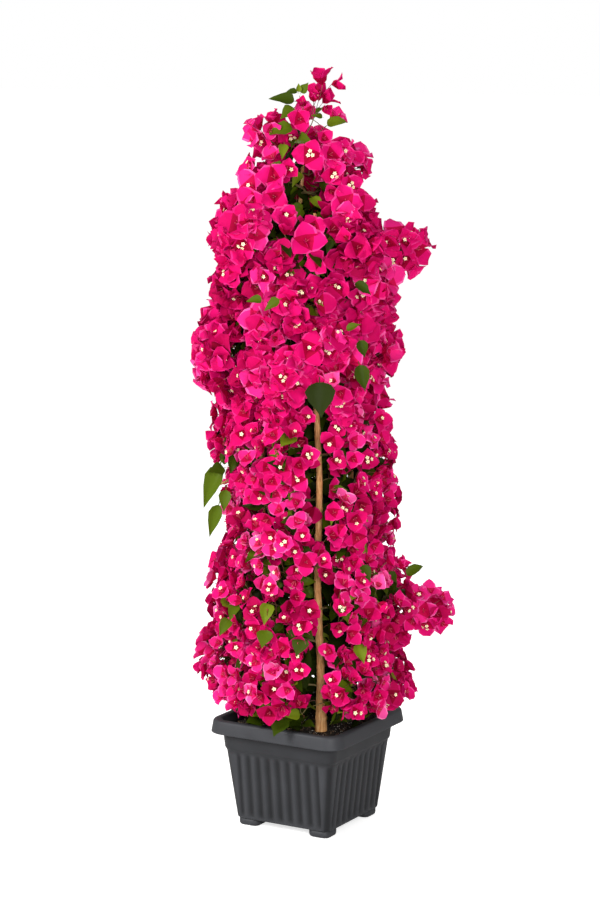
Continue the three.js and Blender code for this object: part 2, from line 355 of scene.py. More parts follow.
def loft(rings):
    """Vertices and faces through rings of equal length, closed at both ends."""
    count = len(rings[0])
    vertices = [p for ring in rings for p in ring]
    faces = []
    for r in range(len(rings) - 1):
        for j in range(count):
            a, b = r * count + j, r * count + (j + 1) % count
            faces.append((a, b, b + count, a + count))
    faces.append(tuple(reversed(range(count))))
    faces.append(tuple(range((len(rings) - 1) * count, len(rings) * count)))
    return vertices, faces


# Levels along the ribbed wall, the length of a groove's round end, and how much painted shade the collar
# under the rim gets.
WALL_LEVELS = 22
GROOVE_END = 12 * MM
COLLAR_SHADE = 0.55


def planter_rings(sizes):
    """The planter's levels: up its outside, over the rim and down its inside.

    With them comes a mask of painted shade: for each corner, 0 on a rib or a plain face and 1 at a groove's
    bottom.
    """
    _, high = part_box("planter")
    rim, top = high.x, high.z
    collar_top, collar_foot = rim - 0.0211, rim - 0.0243
    body_top, body_foot, body_low = rim - 0.0276, rim - 0.0432, sizes.foot_height
    step = sizes.collar_low - 0.0053
    wide, narrow = sizes.rim_corner, sizes.body_corner
    mouth = rim - sizes.rim_lean - sizes.lip
    profile = rounded(
        [
            (0.004, body_low, 0.004, 0),
            (body_foot, body_low, narrow, 0.0035),
            (mix(body_foot, body_top, 0.06), mix(body_low, step, 0.06), narrow, 0),
            (mix(body_foot, body_top, 0.94), mix(body_low, step, 0.94), narrow, 0),
            (body_top, step, narrow, 0.0012),
            (collar_foot, sizes.collar_low, narrow + 0.002, 0.0018),
            (collar_top, sizes.rim_low - 0.0004, narrow + 0.004, 0.002),
            (rim - 0.0035, sizes.rim_low, wide - 0.002, 0.0012),
            (rim, sizes.rim_low + 0.0016, wide, 0.0014),
            (rim - sizes.rim_lean, top, wide - 0.003, 0.0052),
            (mouth, top - 0.0008, wide - 0.012, 0.004),
            (mouth - 0.0012, sizes.rim_low + 0.004, wide - 0.014, 0.002),
            (body_top - 0.0034, step, narrow - 0.003, 0.002),
            (body_foot - 0.0032, body_low + 0.0032, narrow - 0.003, 0.002),
            (0.004, body_low + 0.0032, 0.004, 0),
        ]
    )
    # More levels up the ribbed wall, so that the grooves' round ends show.
    count = next(i for i, level in enumerate(profile) if level[1] > step - 0.003)
    outer, rest = profile[:count], profile[count:]
    first, last = outer[-2:]
    extra = [tuple(mix(a, b, k / WALL_LEVELS) for a, b in zip(first, last)) for k in range(1, WALL_LEVELS)]
    outer = outer[:-1] + extra + [last]
    depth, half_run = sizes.groove_depth, sizes.ribs * sizes.rib_pitch / 2

    def grooves_at(z):
        to_foot, to_top = z - body_low - 0.004, step - 0.002 - z
        rise = min(1.0, max(0.0, to_foot / GROOVE_END), max(0.0, to_top / GROOVE_END))
        round_end = math.sqrt(max(0.0, 1 - (1 - rise) ** 2))

        def inset(along):
            # Broad round ribs, with a narrow groove between each two and outside the last.
            if abs(along) > half_run:
                share = max(0.0, 1 - (abs(along) - half_run) / (0.2 * sizes.rib_pitch))
            else:
                across = (along / sizes.rib_pitch + sizes.ribs / 2) % 1.0 - 0.5
                share = 0.5 - 0.5 * math.cos(math.tau * across)
            return depth * round_end * share

        return inset

    rings, hollows = [], []
    for half, z, corner in outer:
        ring = square_ring(half, corner, z, grooves_at(z))
        rings.append(ring)
        # Painted shade: the deeper a corner lies in a groove, the darker the plastic is painted.
        hollows += [min(1.0, (half - max(abs(p.x), abs(p.y))) / depth) for p in ring]
    # The collar lies in the rim's shadow, so it is painted darker too.
    edge = max(range(len(rest)), key=lambda i: rest[i][1])
    for i, (half, z, corner) in enumerate(rest):
        rings.append(square_ring(half, corner, z))
        hollows += [COLLAR_SHADE if i < edge and z < sizes.rim_low else 0.0] * len(rings[0])
    return rings, hollows


def foot_rings(sizes, quarter):
    """One corner foot, with its lower edges rounded."""
    _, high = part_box("planter")
    outer = high.x - 0.0469
    middle = outer - sizes.foot_side / 2
    turn = Matrix.Rotation(quarter * math.pi / 2, 3, "Z")
    rings = []
    levels = [(0.005, 0.0), (0.0022, 0.0008), (0.0006, 0.0026), (0, 0.005), (0, sizes.foot_height + 0.001)]
    for inset, z in levels:
        ring = square_ring(sizes.foot_side / 2 - inset, 0.013 - inset, z, samples=4, arc=6)
        rings.append([turn @ (p + Vector((middle, middle, 0))) for p in ring])
    return rings


def plastic_material(settings):
    """Injection-moulded polypropylene: satin, with a fine eggshell grain from the mould.

    Painted light and shade: its ribs are painted paler, and its grooves and the collar under the rim darker.
    """
    material, tree, shader = new_material("moulded_polypropylene", IOR=1.49, Specular_IOR_Level=0.2)
    place = add_node(tree, "ShaderNodeTexCoord").outputs["Object"]
    cloud = noise_node(tree, place, 60 * MM, 5.0)
    base = Vector(linear(settings.colour)[:3])
    tone = ramp_node(tree, cloud, (0.3, (*(base * 0.88), 1)), (0.75, (*(base * 1.14), 1)))
    hollow = add_node(tree, "ShaderNodeAttribute", attribute_name="hollow").outputs["Fac"]
    # Painted highlight and shade: the colour is scaled from 1.2 on the ribs down to 0.42 at a groove's
    # bottom.
    shade_scale = range_node(tree, hollow, 0.0, 1.0, 1.2, 0.42)
    shaded_tone = add_node(tree, "ShaderNodeVectorMath", {0: tone, "Scale": shade_scale}, operation="SCALE")
    # The mould's grain is about 0.5 mm, drawn at 1.5 mm so that it shows.
    grain = noise_node(tree, place, 1.5 * MM, 2.0)
    wire(
        tree,
        shader,
        Base_Color=shaded_tone.outputs[0],
        Roughness=range_node(tree, cloud, 0.3, 0.7, 0.42, 0.55),
        Normal=bump_node(tree, grain, 0.25, 0.1 * MM),
    )
    return material


class BOUGAINVILLEA_OT_planter(bpy.types.Operator):
    """Makes the ribbed square planter with its rolled rim and four feet"""

    bl_idname = "bougainvillea.planter"
    bl_label = "Planter"

    def execute(self, context):
        sizes = context.scene.planter_settings
        rings, hollows = planter_rings(sizes)
        vertices, faces = loft(rings)
        for quarter in range(4):
            more, more_faces = loft(foot_rings(sizes, quarter))
            faces += [tuple(i + len(vertices) for i in face) for face in more_faces]
            vertices += more
        hollows += [0.0] * (len(vertices) - len(hollows))
        planter = mesh_object("planter_shell", vertices, faces, [plastic_material(sizes)], hollow=hollows)
        keep(planter, ["planter"])
        return {"FINISHED"}


# --- Compost --------------------------------------------------------------------------------------


def compost_material(name, dark, light, grain):
    """Potting mix: rough, fibrous and moist, so that its lumps have a slight gloss."""
    material, tree, shader = new_material(name, Roughness=0.85)
    place = add_node(tree, "ShaderNodeTexCoord").outputs["Object"]
    speck = noise_node(tree, place, grain, 6.0)
    colour = ramp_node(tree, speck, (0.38, linear(dark)), (0.66, linear(light)))
    wire(tree, shader, Base_Color=colour, Normal=bump_node(tree, speck, 0.8, 1.0 * MM))
    return material


def crumb_template(name, squash, seed):
    """One crumb, about one unit across."""
    shape = bmesh.new()
    bmesh.ops.create_icosphere(shape, subdivisions=1, radius=0.5)
    for v in shape.verts:
        v.co *= 1 + 0.45 * noise.noise(v.co * 2.3 + Vector((seed, 0, 0)))
        v.co = Vector(v.co[i] * squash[i] for i in range(3))
    mesh = bpy.data.meshes.new(name)
    shape.to_mesh(mesh)
    shape.free()
    return bpy.data.objects.new(name, mesh)


def crumb_tree(template, material):
    """Strews a template over a surface: how many, how large and which seed are the tree's inputs."""
    numbers = dict(Density="Float", Small="Float", Large="Float", Seed="Int")
    tree, given = node_group("strewn_" + template.name, "Crumbs", Surface="Geometry", **numbers)
    spread = add_node(
        tree,
        "GeometryNodeDistributePointsOnFaces",
        {"Mesh": given["Surface"], "Density": given["Density"], "Seed": given["Seed"]},
    )
    size = add_node(
        tree,
        "FunctionNodeRandomValue",
        {2: given["Small"], 3: given["Large"], "Seed": given["Seed"]},
        data_type="FLOAT",
    )
    turns = {1: (6.3, 6.3, 6.3), "Seed": given["Seed"]}
    turn = add_node(tree, "FunctionNodeRandomValue", turns, data_type="FLOAT_VECTOR")
    source = add_node(tree, "GeometryNodeObjectInfo", {"Object": template})
    strewn = add_node(
        tree,
        "GeometryNodeInstanceOnPoints",
        {
            "Points": spread.outputs["Points"],
            "Instance": source.outputs["Geometry"],
            "Rotation": turn.outputs[0],
            "Scale": size.outputs[1],
        },
    )
    end_group(tree, "Crumbs", strewn.outputs[0], material)
    return tree


def plain_mesh_of(source, tree, name, **inputs):
    """What a tree makes of an object, as a new plain object. The source is removed."""
    modifier = source.modifiers.new("nodes", "NODES")
    modifier.node_group = tree
    sockets = {s.name: s.identifier for s in tree.interface.items_tree if s.in_out == "INPUT"}
    for key, value in inputs.items():
        modifier[sockets[key]] = value
    evaluated = source.evaluated_get(bpy.context.evaluated_depsgraph_get())
    mesh = bpy.data.meshes.new_from_object(evaluated)
    mesh.name = name
    # Templates without a material leave an empty slot in front.
    if mesh.materials[0] is None:
        mesh.materials.pop(index=0)
    source.modifiers.remove(modifier)
    bpy.data.objects.remove(source)
    return new_object(name, mesh)


class BOUGAINVILLEA_OT_compost(bpy.types.Operator):
    """Makes the compost's lumpy surface and strews crumbs, bark chips and perlite over it"""

    bl_idname = "bougainvillea.compost"
    bl_label = "Compost"

    def execute(self, context):
        settings = context.scene.compost_settings
        low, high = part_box("compost")
        half = high.x - 0.0008
        rings = []
        for share in np.linspace(0, 1, 66).tolist():
            ring = square_ring(max(0.001, half * share), 0.022 * share, high.z, samples=64, arc=8)
            for p in ring:
                lump = noise.noise(p * 26) + 0.6 * noise.noise(p * 85) + 0.45 * noise.noise(p * 240)
                p.z += settings.relief * lump * 0.6 - 0.0035 - 0.003 * smoothstep(0.6, 1.0, share)
            rings.append(ring)
        # The sides and the underside close it, out of sight inside the planter.
        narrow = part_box("planter")[1].x - 0.05
        rings.append(square_ring(half, 0.022, high.z - 0.012, samples=64, arc=8))
        rings.append(square_ring(half - 0.010, 0.016, high.z - 0.05, samples=64, arc=8))
        rings.append(square_ring(narrow, 0.012, low.z + 0.004, samples=64, arc=8))
        vertices, faces = loft(rings)
        soil = compost_material("moist_potting_mix", "0b0705", "33271c", 3 * MM)
        surface = mesh_object("compost_surface", vertices, faces, [soil])
        keep(surface, ["compost"])
        kinds = [
            ("crumb", (1, 0.8, 0.7), settings.crumbs, 2.0 * MM, 5.0 * MM, soil),
            ("bark_chip", (1.5, 0.7, 0.3), settings.chips, 3.5 * MM, 8.0 * MM, None),
            ("perlite_grain", (1, 0.9, 0.8), settings.perlite, 1.6 * MM, 3.4 * MM, None),
        ]
        looks = {
            "bark_chip": compost_material("composted_bark", "1c120b", "6f5740", 4 * MM),
            "perlite_grain": compost_material("expanded_perlite", "b9b3a6", "e9e5da", 2 * MM),
        }
        for seed, (name, squash, density, small, large, material) in enumerate(kinds):
            template = crumb_template(name, squash, seed)
            top = self.top_of(surface, name + "_ground", half)
            tree = crumb_tree(template, material or looks[name])
            made = plain_mesh_of(
                top, tree, name + "s", Density=float(density), Small=small, Large=large, Seed=seed + 3
            )
            keep(made)
            bpy.data.objects.remove(template)
        return {"FINISHED"}

    @staticmethod
    def top_of(surface, name, half):
        """The part of the compost that shows, as an object of its own."""
        shape = bmesh.new()
        shape.from_mesh(surface.data)
        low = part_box("compost")[1].z - 0.02
        hidden = [f for f in shape.faces if f.calc_center_median().z < low or f.normal.z < 0.2]
        hidden += [f for f in shape.faces if max(map(abs, f.calc_center_median()[:2])) > half - 0.004]
        bmesh.ops.delete(shape, geom=list(set(hidden)), context="FACES")
        mesh = bpy.data.meshes.new(name)
        shape.to_mesh(mesh)
        shape.free()
        return new_object(name, mesh)


# --- Stems and boughs -----------------------------------------------------------------------------


def limb_line(name):
    """A CAD limb's middle line, as (centre, radius) from its root to its tip."""
    # Its rings of corners lie further apart than this.
    gap = 7 * MM
    points = np.array([tuple(p) for p in node_points(name)])
    centred = points - points.mean(0)
    main = np.linalg.svd(centred, full_matrices=False)[2][0]
    root = min(points, key=lambda p: p[2])
    along = centred @ main
    if (root - points.mean(0)) @ main > 0:
        along = -along
    order = np.argsort(along)
    breaks = [i + 1 for i in range(len(order) - 1) if along[order[i + 1]] - along[order[i]] > gap]
    line = []
    for ring in np.split(order, breaks):
        if len(ring) < 3:
            continue
        centre = (points[ring].max(0) + points[ring].min(0)) / 2
        line.append((Vector(centre), float(np.linalg.norm(points[ring] - centre, axis=1).max())))
    return line


def along_line(line, step):
    """A smooth curve through (point, radius) pairs, sampled every step."""
    points = [p for p, _ in line]
    radii = [r for _, r in line]
    made = []
    for i in range(len(points) - 1):
        before, after = points[max(i - 1, 0)], points[min(i + 2, len(points) - 1)]
        a, b = points[i], points[i + 1]
        count = max(1, round((b - a).length / step))
        for k in range(count):
            t = k / count
            at = 0.5 * (
                2 * a + (b - before) * t + (2 * before - 5 * a + 4 * b - after) * t**2
                + (3 * a - before - 3 * b + after) * t**3
            )
            made.append((at, mix(radii[i], radii[i + 1], t)))
    made.append((points[-1], radii[-1]))
    return made


def bark_tube(line, sides, seed):
    """A limb's bark: long ridges that wander, swollen joints and old leaf scars. Its end tapers."""
    curve = along_line(line, 3.5 * MM)
    rings = []
    side = Vector((1, 0, 0))
    travelled = 0.0
    for i, (centre, radius) in enumerate(curve):
        ahead = (curve[min(i + 1, len(curve) - 1)][0] - curve[max(i - 1, 0)][0]).normalized()
        side = (side - ahead * side.dot(ahead)).normalized()
        across = ahead.cross(side)
        if i:
            travelled += (centre - curve[i - 1][0]).length
        joint = travelled / (52 * MM) + seed * 0.37
        off_joint = ((joint % 1.0) - 0.5) ** 2
        swelling = 0.10 * math.exp(-off_joint / 0.006)
        scar_angle = math.floor(joint) * 2.4
        ring = []
        for j in range(sides):
            angle = j / sides * 2 * math.pi
            place = Vector((math.cos(angle) * 2.6, math.sin(angle) * 2.6, travelled * 24 + seed * 9))
            ridge = noise.noise(place) * 0.09 + noise.noise(place * 2.7) * 0.05
            scar = 0.12 * math.exp(-off_joint / 0.003) * max(0, math.cos(angle - scar_angle)) ** 6
            reach = radius * (1.04 + ridge + swelling + scar)
            ring.append(centre + (side * math.cos(angle) + across * math.sin(angle)) * reach)
        rings.append(ring)
    tip, radius = curve[-1]
    rings.append([tip + (p - tip) * 0.5 + ahead * radius * 0.6 for p in rings[-1]])
    return loft(rings)


def bark_material():
    """Old wood: corky tan bark, split along the stem, with darker cracks and a grey bloom of lichen."""
    material, tree, shader = new_material("corky_bark", Roughness=0.8)
    place = add_node(tree, "ShaderNodeTexCoord").outputs["Object"]
    long_grain = add_node(
        tree, "ShaderNodeMapping", {"Vector": place, "Scale": (1.0, 1.0, 0.12)}, vector_type="POINT"
    )
    grain = noise_node(tree, long_grain.outputs[0], 2.2 * MM, 5.0, Roughness=0.62)
    patch = noise_node(tree, place, 35 * MM, 3.0)
    tan = ramp_node(tree, grain, (0.30, linear("a06a3a")), (0.5, linear("d6985c")), (0.70, linear("ecc48a")))
    grey = range_node(tree, patch, 0.5, 0.75, 0.0, 0.25)
    mixed = add_node(tree, "ShaderNodeMix", {0: grey, 6: tan, 7: linear("b8a888")}, data_type="RGBA")
    wire(tree, shader, Base_Color=mixed.outputs[2], Normal=bump_node(tree, grain, 0.7, 0.5 * MM))
    return material


class BOUGAINVILLEA_OT_wood(bpy.types.Operator):
    """Makes the bark of the trained stems and of the side boughs"""

    bl_idname = "bougainvillea.wood"
    bl_label = "Stems and boughs"

    def execute(self, context):
        bark = bark_material()
        for seed, name in enumerate(STEMS + BOUGHS):
            vertices, faces = bark_tube(limb_line(name), 20 if name in STEMS else 12, seed)
            piece = mesh_object(name + "_bark", vertices, faces, [bark])
            keep(piece, [name])
        return {"FINISHED"}


# --- The crown's outline --------------------------------------------------------------------------


class Outline:
    """How far the column of foliage reaches from the planter's axis, by azimuth and height."""

    around, step = 90, 0.012

    def __init__(self):
        self.tree = node_tree(TIER_MASSES)
        boxes = [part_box(name) for name in TIER_MASSES]
        self.low = min(low.z for low, _ in boxes)
        self.high = max(high.z for _, high in boxes)
        rows = int((self.high - self.low) / self.step) + 1
        reach = np.zeros((self.around, rows))
        for i in range(self.around):
            way = way_out(i / self.around * math.tau)
            for j in range(rows):
                hit = self.tree.ray_cast(way * 0.5 + UP * (self.low + j * self.step), -way, 0.5)[0]
                reach[i, j] = math.hypot(hit.x, hit.y) if hit is not None else 0.0
            # The seams between masses are closed, as far up as the foliage goes at this azimuth.
            hits = np.nonzero(reach[i])[0]
            inside = np.arange(rows) <= hits[-1]
            reach[i] = np.where(inside, np.interp(np.arange(rows), hits, reach[i][hits]), 0.0)
        for _ in range(2):
            soft = (np.roll(reach, 1, 0) + reach + np.roll(reach, -1, 0)) / 3
            up = np.pad(soft, ((0, 0), (1, 1)), mode="edge")
            soft = (up[:, :-2] + up[:, 1:-1] + up[:, 2:]) / 3
            reach = np.where(reach > 0, np.maximum(soft, reach * 0.5 + soft * 0.5), reach)
        self.reach = reach

    def at(self, angle, z):
        """The reach at an azimuth in radians and a height."""
        i = (angle / math.tau * self.around) % self.around
        j = min(max((z - self.low) / self.step, 0), self.reach.shape[1] - 1.001)
        i0, j0 = int(i), int(j)
        i1 = (i0 + 1) % self.around
        a = mix(self.reach[i0 % self.around, j0], self.reach[i1, j0], i - i0)
        b = mix(self.reach[i0 % self.around, j0 + 1], self.reach[i1, j0 + 1], i - i0)
        return mix(a, b, j - j0)

    def depth(self, at):
        """How deep a point lies under the outline."""
        return self.at(math.atan2(at.y, at.x), min(at.z, self.high)) - math.hypot(at.x, at.y)

    def facing(self, angle, z):
        """The way out of the crown's surface."""
        slope = (self.at(angle, z + 0.02) - self.at(angle, z - 0.02)) / 0.04
        return Vector((math.cos(angle), math.sin(angle), -max(-1.5, min(1.5, slope)))).normalized()


# --- Growth ---------------------------------------------------------------------------------------


class Bloom:
    """One group of three bracts: where its foot is, which way it faces, and how long its bracts are."""

    def __init__(self, at, facing, length, kind=None, tint=None):
        # Nothing may reach far past the frame's own box.
        for axis, room in ((0, 0.024), (1, 0.032)):
            at[axis] = min(max(at[axis], CAD_LOW[axis] + room), CAD_HIGH[axis] - room)
        self.at, self.facing, self.length = at, facing, length
        self.kind, self.tint = kind, tint


# A distance past anything on the plant.
FAR = 9.0


class Growth:
    """The plant's branching, as joints that each know the joint they grew from.

    Rule: every spray has its place at the crown's surface. Sprays are taken from the inside out, and each
    grows from the joint that it can reach with the least effort, where growing downwards costs more. Its twig
    leaves along its parent, arches, and arrives facing out.
    """

    def __init__(self, settings):
        self.step = settings.step
        # Room for more joints than the plant has.
        self.points = np.zeros((60000, 3))
        self.parents = []
        self.wooden = 0

    def joint(self, point, parent):
        self.points[len(self.parents)] = point
        self.parents.append(parent)
        return len(self.parents) - 1

    def limb(self, name):
        """The joints of a limb that the frame gives."""
        curve = along_line(limb_line(name), 0.012)
        parent = -1
        if self.parents and name in BOUGHS:
            parent = self.nearest(curve[0][0], 0)
        for at, _ in curve:
            parent = self.joint(at, parent)
        self.wooden = len(self.parents)

    def nearest(self, target, least):
        """The joint that a twig to target would leave from."""
        known = self.points[: len(self.parents)]
        way = np.array(target) - known
        length = np.linalg.norm(way, axis=1) + 1e-6
        effort = length * (1 + 0.55 * np.maximum(0, -way[:, 2] / length))
        effort[length < least] = FAR
        return int(effort.argmin())

    def twig(self, target, facing, source=None, wander=0.12):
        """Grows a twig to target, which it reaches along facing, and returns its last joint."""
        if source is None:
            source = self.nearest(target, 0.012)
        start = Vector(self.points[source])
        span = (target - start).length
        back = self.parents[source]
        onward = (start - Vector(self.points[back])).normalized() if back >= 0 else UP.copy()
        outward = (target - start).normalized()
        leave = (onward * 0.5 + outward + UP * 0.25).normalized() * span
        arrive = (facing + outward * 0.6).normalized() * span * 0.8
        count = max(2, math.ceil(span / self.step))
        last = source
        for k in range(1, count + 1):
            t = k / count
            at = (
                start * (2 * t**3 - 3 * t**2 + 1)
                + leave * (t**3 - 2 * t**2 + t)
                + target * (-2 * t**3 + 3 * t**2)
                + arrive * (t**3 - t**2)
            )
            if k < count:
                sway = noise.noise_vector(at * 40) * wander * self.step * 2
                at = at + sway
            last = self.joint(at, last)
        return last

    def loads(self):
        """How many twig ends each joint carries."""
        count = len(self.parents)
        carried = [0] * count
        has_child = [False] * count
        for parent in self.parents:
            if parent >= 0:
                has_child[parent] = True
        for i in range(count - 1, -1, -1):
            if not has_child[i]:
                carried[i] += 1
            if self.parents[i] >= 0:
                carried[self.parents[i]] += carried[i]
        return carried

    def chains(self):
        """The twigs as runs of joints. A run starts at its parent and goes on along the heaviest child."""
        carried = self.loads()
        children = [[] for _ in self.parents]
        for i, parent in enumerate(self.parents):
            if parent >= 0:
                children[parent].append(i)
        runs = []
        for i, parent in enumerate(self.parents):
            if i < self.wooden:
                continue
            if parent >= self.wooden and i == max(children[parent], key=lambda c: (carried[c], -c)):
                continue
            run = [i] if parent < 0 else [parent, i]
            while children[run[-1]]:
                run.append(max(children[run[-1]], key=lambda c: (carried[c], -c)))
            runs.append(run)
        return runs, carried


def turned(direction, amount, rng):
    """A direction, turned at random by about this much."""
    off = Vector((rng.gauss(0, 1), rng.gauss(0, 1), rng.gauss(0, 1))) * amount
    return (direction + off).normalized()


def spaced(candidates, spacing_at, rng):
    """Candidates (point, way out) thinned so that none are nearer than the spacing."""
    rng.shuffle(candidates)
    cell = 0.09
    kept, grid = [], {}
    for item in candidates:
        at = item[0]
        room = spacing_at(at)
        key = tuple(int(math.floor(c / cell)) for c in at)
        near = [
            p
            for dx in (-1, 0, 1)
            for dy in (-1, 0, 1)
            for dz in (-1, 0, 1)
            for p in grid.get((key[0] + dx, key[1] + dy, key[2] + dz), ())
        ]
        if all((p - at).length >= room for p in near):
            kept.append(item)
            grid.setdefault(key, []).append(at)
    return kept


# The loose sprigs at the top: the foot of each bloom (right, height, forward), the way it faces (right, up,
# forward), the length of its bracts and its kind.
TOP_BLOOMS = [
    ((0.027, 1.458, 0.004), (-0.15, 1.0, 0.15), 0.044, "pointed"),
    ((0.044, 1.459, 0.004), (0.90, 0.25, 0.15), 0.033, "pointed"),
    ((0.010, 1.426, 0.012), (0.0, 0.95, 0.3), 0.028, "cup"),
    ((0.027, 1.424, 0.006), (0.70, 0.65, 0.2), 0.038, "pointed"),
    ((0.030, 1.418, 0.020), (0.35, -0.35, 0.8), 0.025, "cup"),
    ((-0.017, 1.394, 0.040), (0.0, 0.06, 1.0), 0.029, "round"),
    ((-0.010, 1.418, 0.014), (-0.3, 0.6, 0.6), 0.022, "cup"),
    ((-0.060, 1.386, 0.010), (-0.60, 0.70, 0.3), 0.032, "folded"),
    ((-0.072, 1.374, 0.024), (0.1, -0.1, 1.0), 0.026, "open"),
    ((-0.094, 1.366, 0.010), (-0.80, 0.20, 0.55), 0.040, "ruffled"),
    ((-0.092, 1.372, 0.000), (-0.50, 0.85, 0.20), 0.036, "folded"),
    ((-0.084, 1.356, 0.016), (-0.60, -0.55, 0.6), 0.036, "wide"),
    ((0.028, 1.356, 0.040), (0.25, 0.35, 0.9), 0.025, "open"),
    ((0.004, 1.329, 0.086), (-0.10, 0.05, 1.0), 0.036, "wide"),
    ((0.038, 1.328, 0.072), (0.35, 0.05, 0.9), 0.034, "ruffled"),
    ((0.062, 1.332, 0.050), (0.45, 0.35, 0.8), 0.030, "open"),
    ((0.084, 1.316, 0.012), (0.70, 0.65, 0.3), 0.043, "folded"),
    ((0.100, 1.300, 0.010), (0.95, 0.05, 0.3), 0.030, "ruffled"),
    ((0.082, 1.292, 0.050), (0.30, -0.25, 0.9), 0.032, "cup"),
    ((0.048, 1.290, 0.074), (0.05, 0.05, 1.0), 0.032, "open"),
    ((0.042, 1.262, 0.084), (0.1, -0.2, 1.0), 0.030, "folded"),
    ((-0.066, 1.316, 0.040), (-0.35, 0.75, 0.5), 0.034, "open"),
    ((-0.104, 1.302, 0.030), (-0.80, 0.35, 0.5), 0.036, "ruffled"),
    ((-0.064, 1.284, 0.082), (-0.20, 0.25, 0.95), 0.038, "ruffled"),
    ((-0.040, 1.300, 0.070), (0.1, 0.3, 0.9), 0.028, "open"),
    ((-0.106, 1.268, 0.056), (-0.55, 0.20, 0.8), 0.037, "wide"),
    ((-0.112, 1.290, 0.010), (-0.90, 0.40, 0.1), 0.032, "ruffled"),
    ((0.070, 1.238, 0.100), (0.15, 0.45, 0.9), 0.036, "wide"),
    ((0.066, 1.214, 0.108), (0.10, -0.05, 1.0), 0.037, "ruffled"),
    ((0.018, 1.440, -0.030), (0.1, 0.5, -0.8), 0.030, "open"),
    ((-0.004, 1.400, -0.052), (-0.1, 0.3, -0.9), 0.034, "ruffled"),
    ((0.048, 1.388, -0.046), (0.5, 0.4, -0.7), 0.034, "folded"),
    ((-0.056, 1.372, -0.040), (-0.5, 0.5, -0.7), 0.035, "ruffled"),
    ((0.010, 1.352, -0.080), (0.1, 0.2, -1.0), 0.036, "wide"),
    ((-0.064, 1.250, 0.092), (-0.1, 0.1, 1.0), 0.037, "ruffled"),
    ((-0.106, 1.238, 0.070), (-0.5, 0.1, 0.8), 0.037, "wide"),
    ((-0.044, 1.216, 0.104), (0.1, 0.0, 1.0), 0.035, "ruffled"),
    ((0.074, 1.270, 0.074), (0.4, 0.1, 0.9), 0.034, "ruffled"),
    ((0.092, 1.238, 0.078), (0.5, 0.1, 0.8), 0.036, "open"),
    ((0.010, 1.194, 0.112), (0.0, 0.2, 1.0), 0.036, "open"),
]

# The two sprays that stand out on the right, low down and high up, given in the same way.
LOW_SIDE_BLOOMS = [
    ((0.200, 0.446, 0.060), (0.1, 0.3, 0.9), 0.030, "open"),
    ((0.214, 0.464, 0.050), (0.2, 0.7, 0.6), 0.030, "ruffled"),
    ((0.236, 0.470, 0.040), (0.2, 0.8, 0.5), 0.030, "open"),
    ((0.226, 0.442, 0.056), (0.1, 0.1, 1.0), 0.031, "wide"),
    ((0.258, 0.456, 0.040), (0.6, 0.6, 0.5), 0.030, "ruffled"),
    ((0.250, 0.434, 0.050), (0.2, 0.0, 1.0), 0.031, "open"),
    ((0.270, 0.434, 0.036), (0.9, 0.1, 0.4), 0.028, "folded"),
    ((0.258, 0.414, 0.040), (0.5, -0.6, 0.6), 0.030, "ruffled"),
    ((0.232, 0.414, 0.046), (-0.1, -0.6, 0.7), 0.030, "wide"),
    ((0.206, 0.420, 0.050), (-0.1, -0.4, 0.9), 0.029, "open"),
    ((0.222, 0.450, 0.010), (0.0, 0.4, -0.9), 0.030, "ruffled"),
    ((0.252, 0.440, 0.004), (0.4, 0.1, -0.9), 0.030, "wide"),
    ((0.236, 0.416, 0.010), (0.0, -0.6, -0.8), 0.029, "open"),
]
HIGH_SIDE_BLOOMS = [
    ((0.150, 1.158, 0.050), (0.1, 0.2, 0.9), 0.036, "ruffled"),
    ((0.164, 1.174, 0.040), (0.3, 0.8, 0.5), 0.036, "wide"),
    ((0.182, 1.160, 0.048), (0.2, 0.2, 0.9), 0.038, "open"),
    ((0.194, 1.166, 0.034), (0.5, 0.6, 0.6), 0.036, "ruffled"),
    ((0.206, 1.146, 0.040), (0.5, 0.0, 0.8), 0.038, "wide"),
    ((0.216, 1.160, 0.020), (1.0, 0.3, 0.1), 0.036, "ruffled"),
    ((0.182, 1.130, 0.042), (0.2, -0.3, 0.9), 0.037, "ruffled"),
    ((0.192, 1.120, 0.030), (0.5, -0.5, 0.6), 0.035, "folded"),
    ((0.160, 1.126, 0.050), (-0.1, -0.2, 1.0), 0.036, "open"),
    ((0.196, 1.150, -0.006), (0.3, 0.2, -0.9), 0.037, "ruffled"),
    ((0.176, 1.130, -0.004), (0.1, -0.5, -0.8), 0.036, "wide"),
    ((0.166, 1.168, 0.000), (0.0, 0.6, -0.8), 0.036, "open"),
]

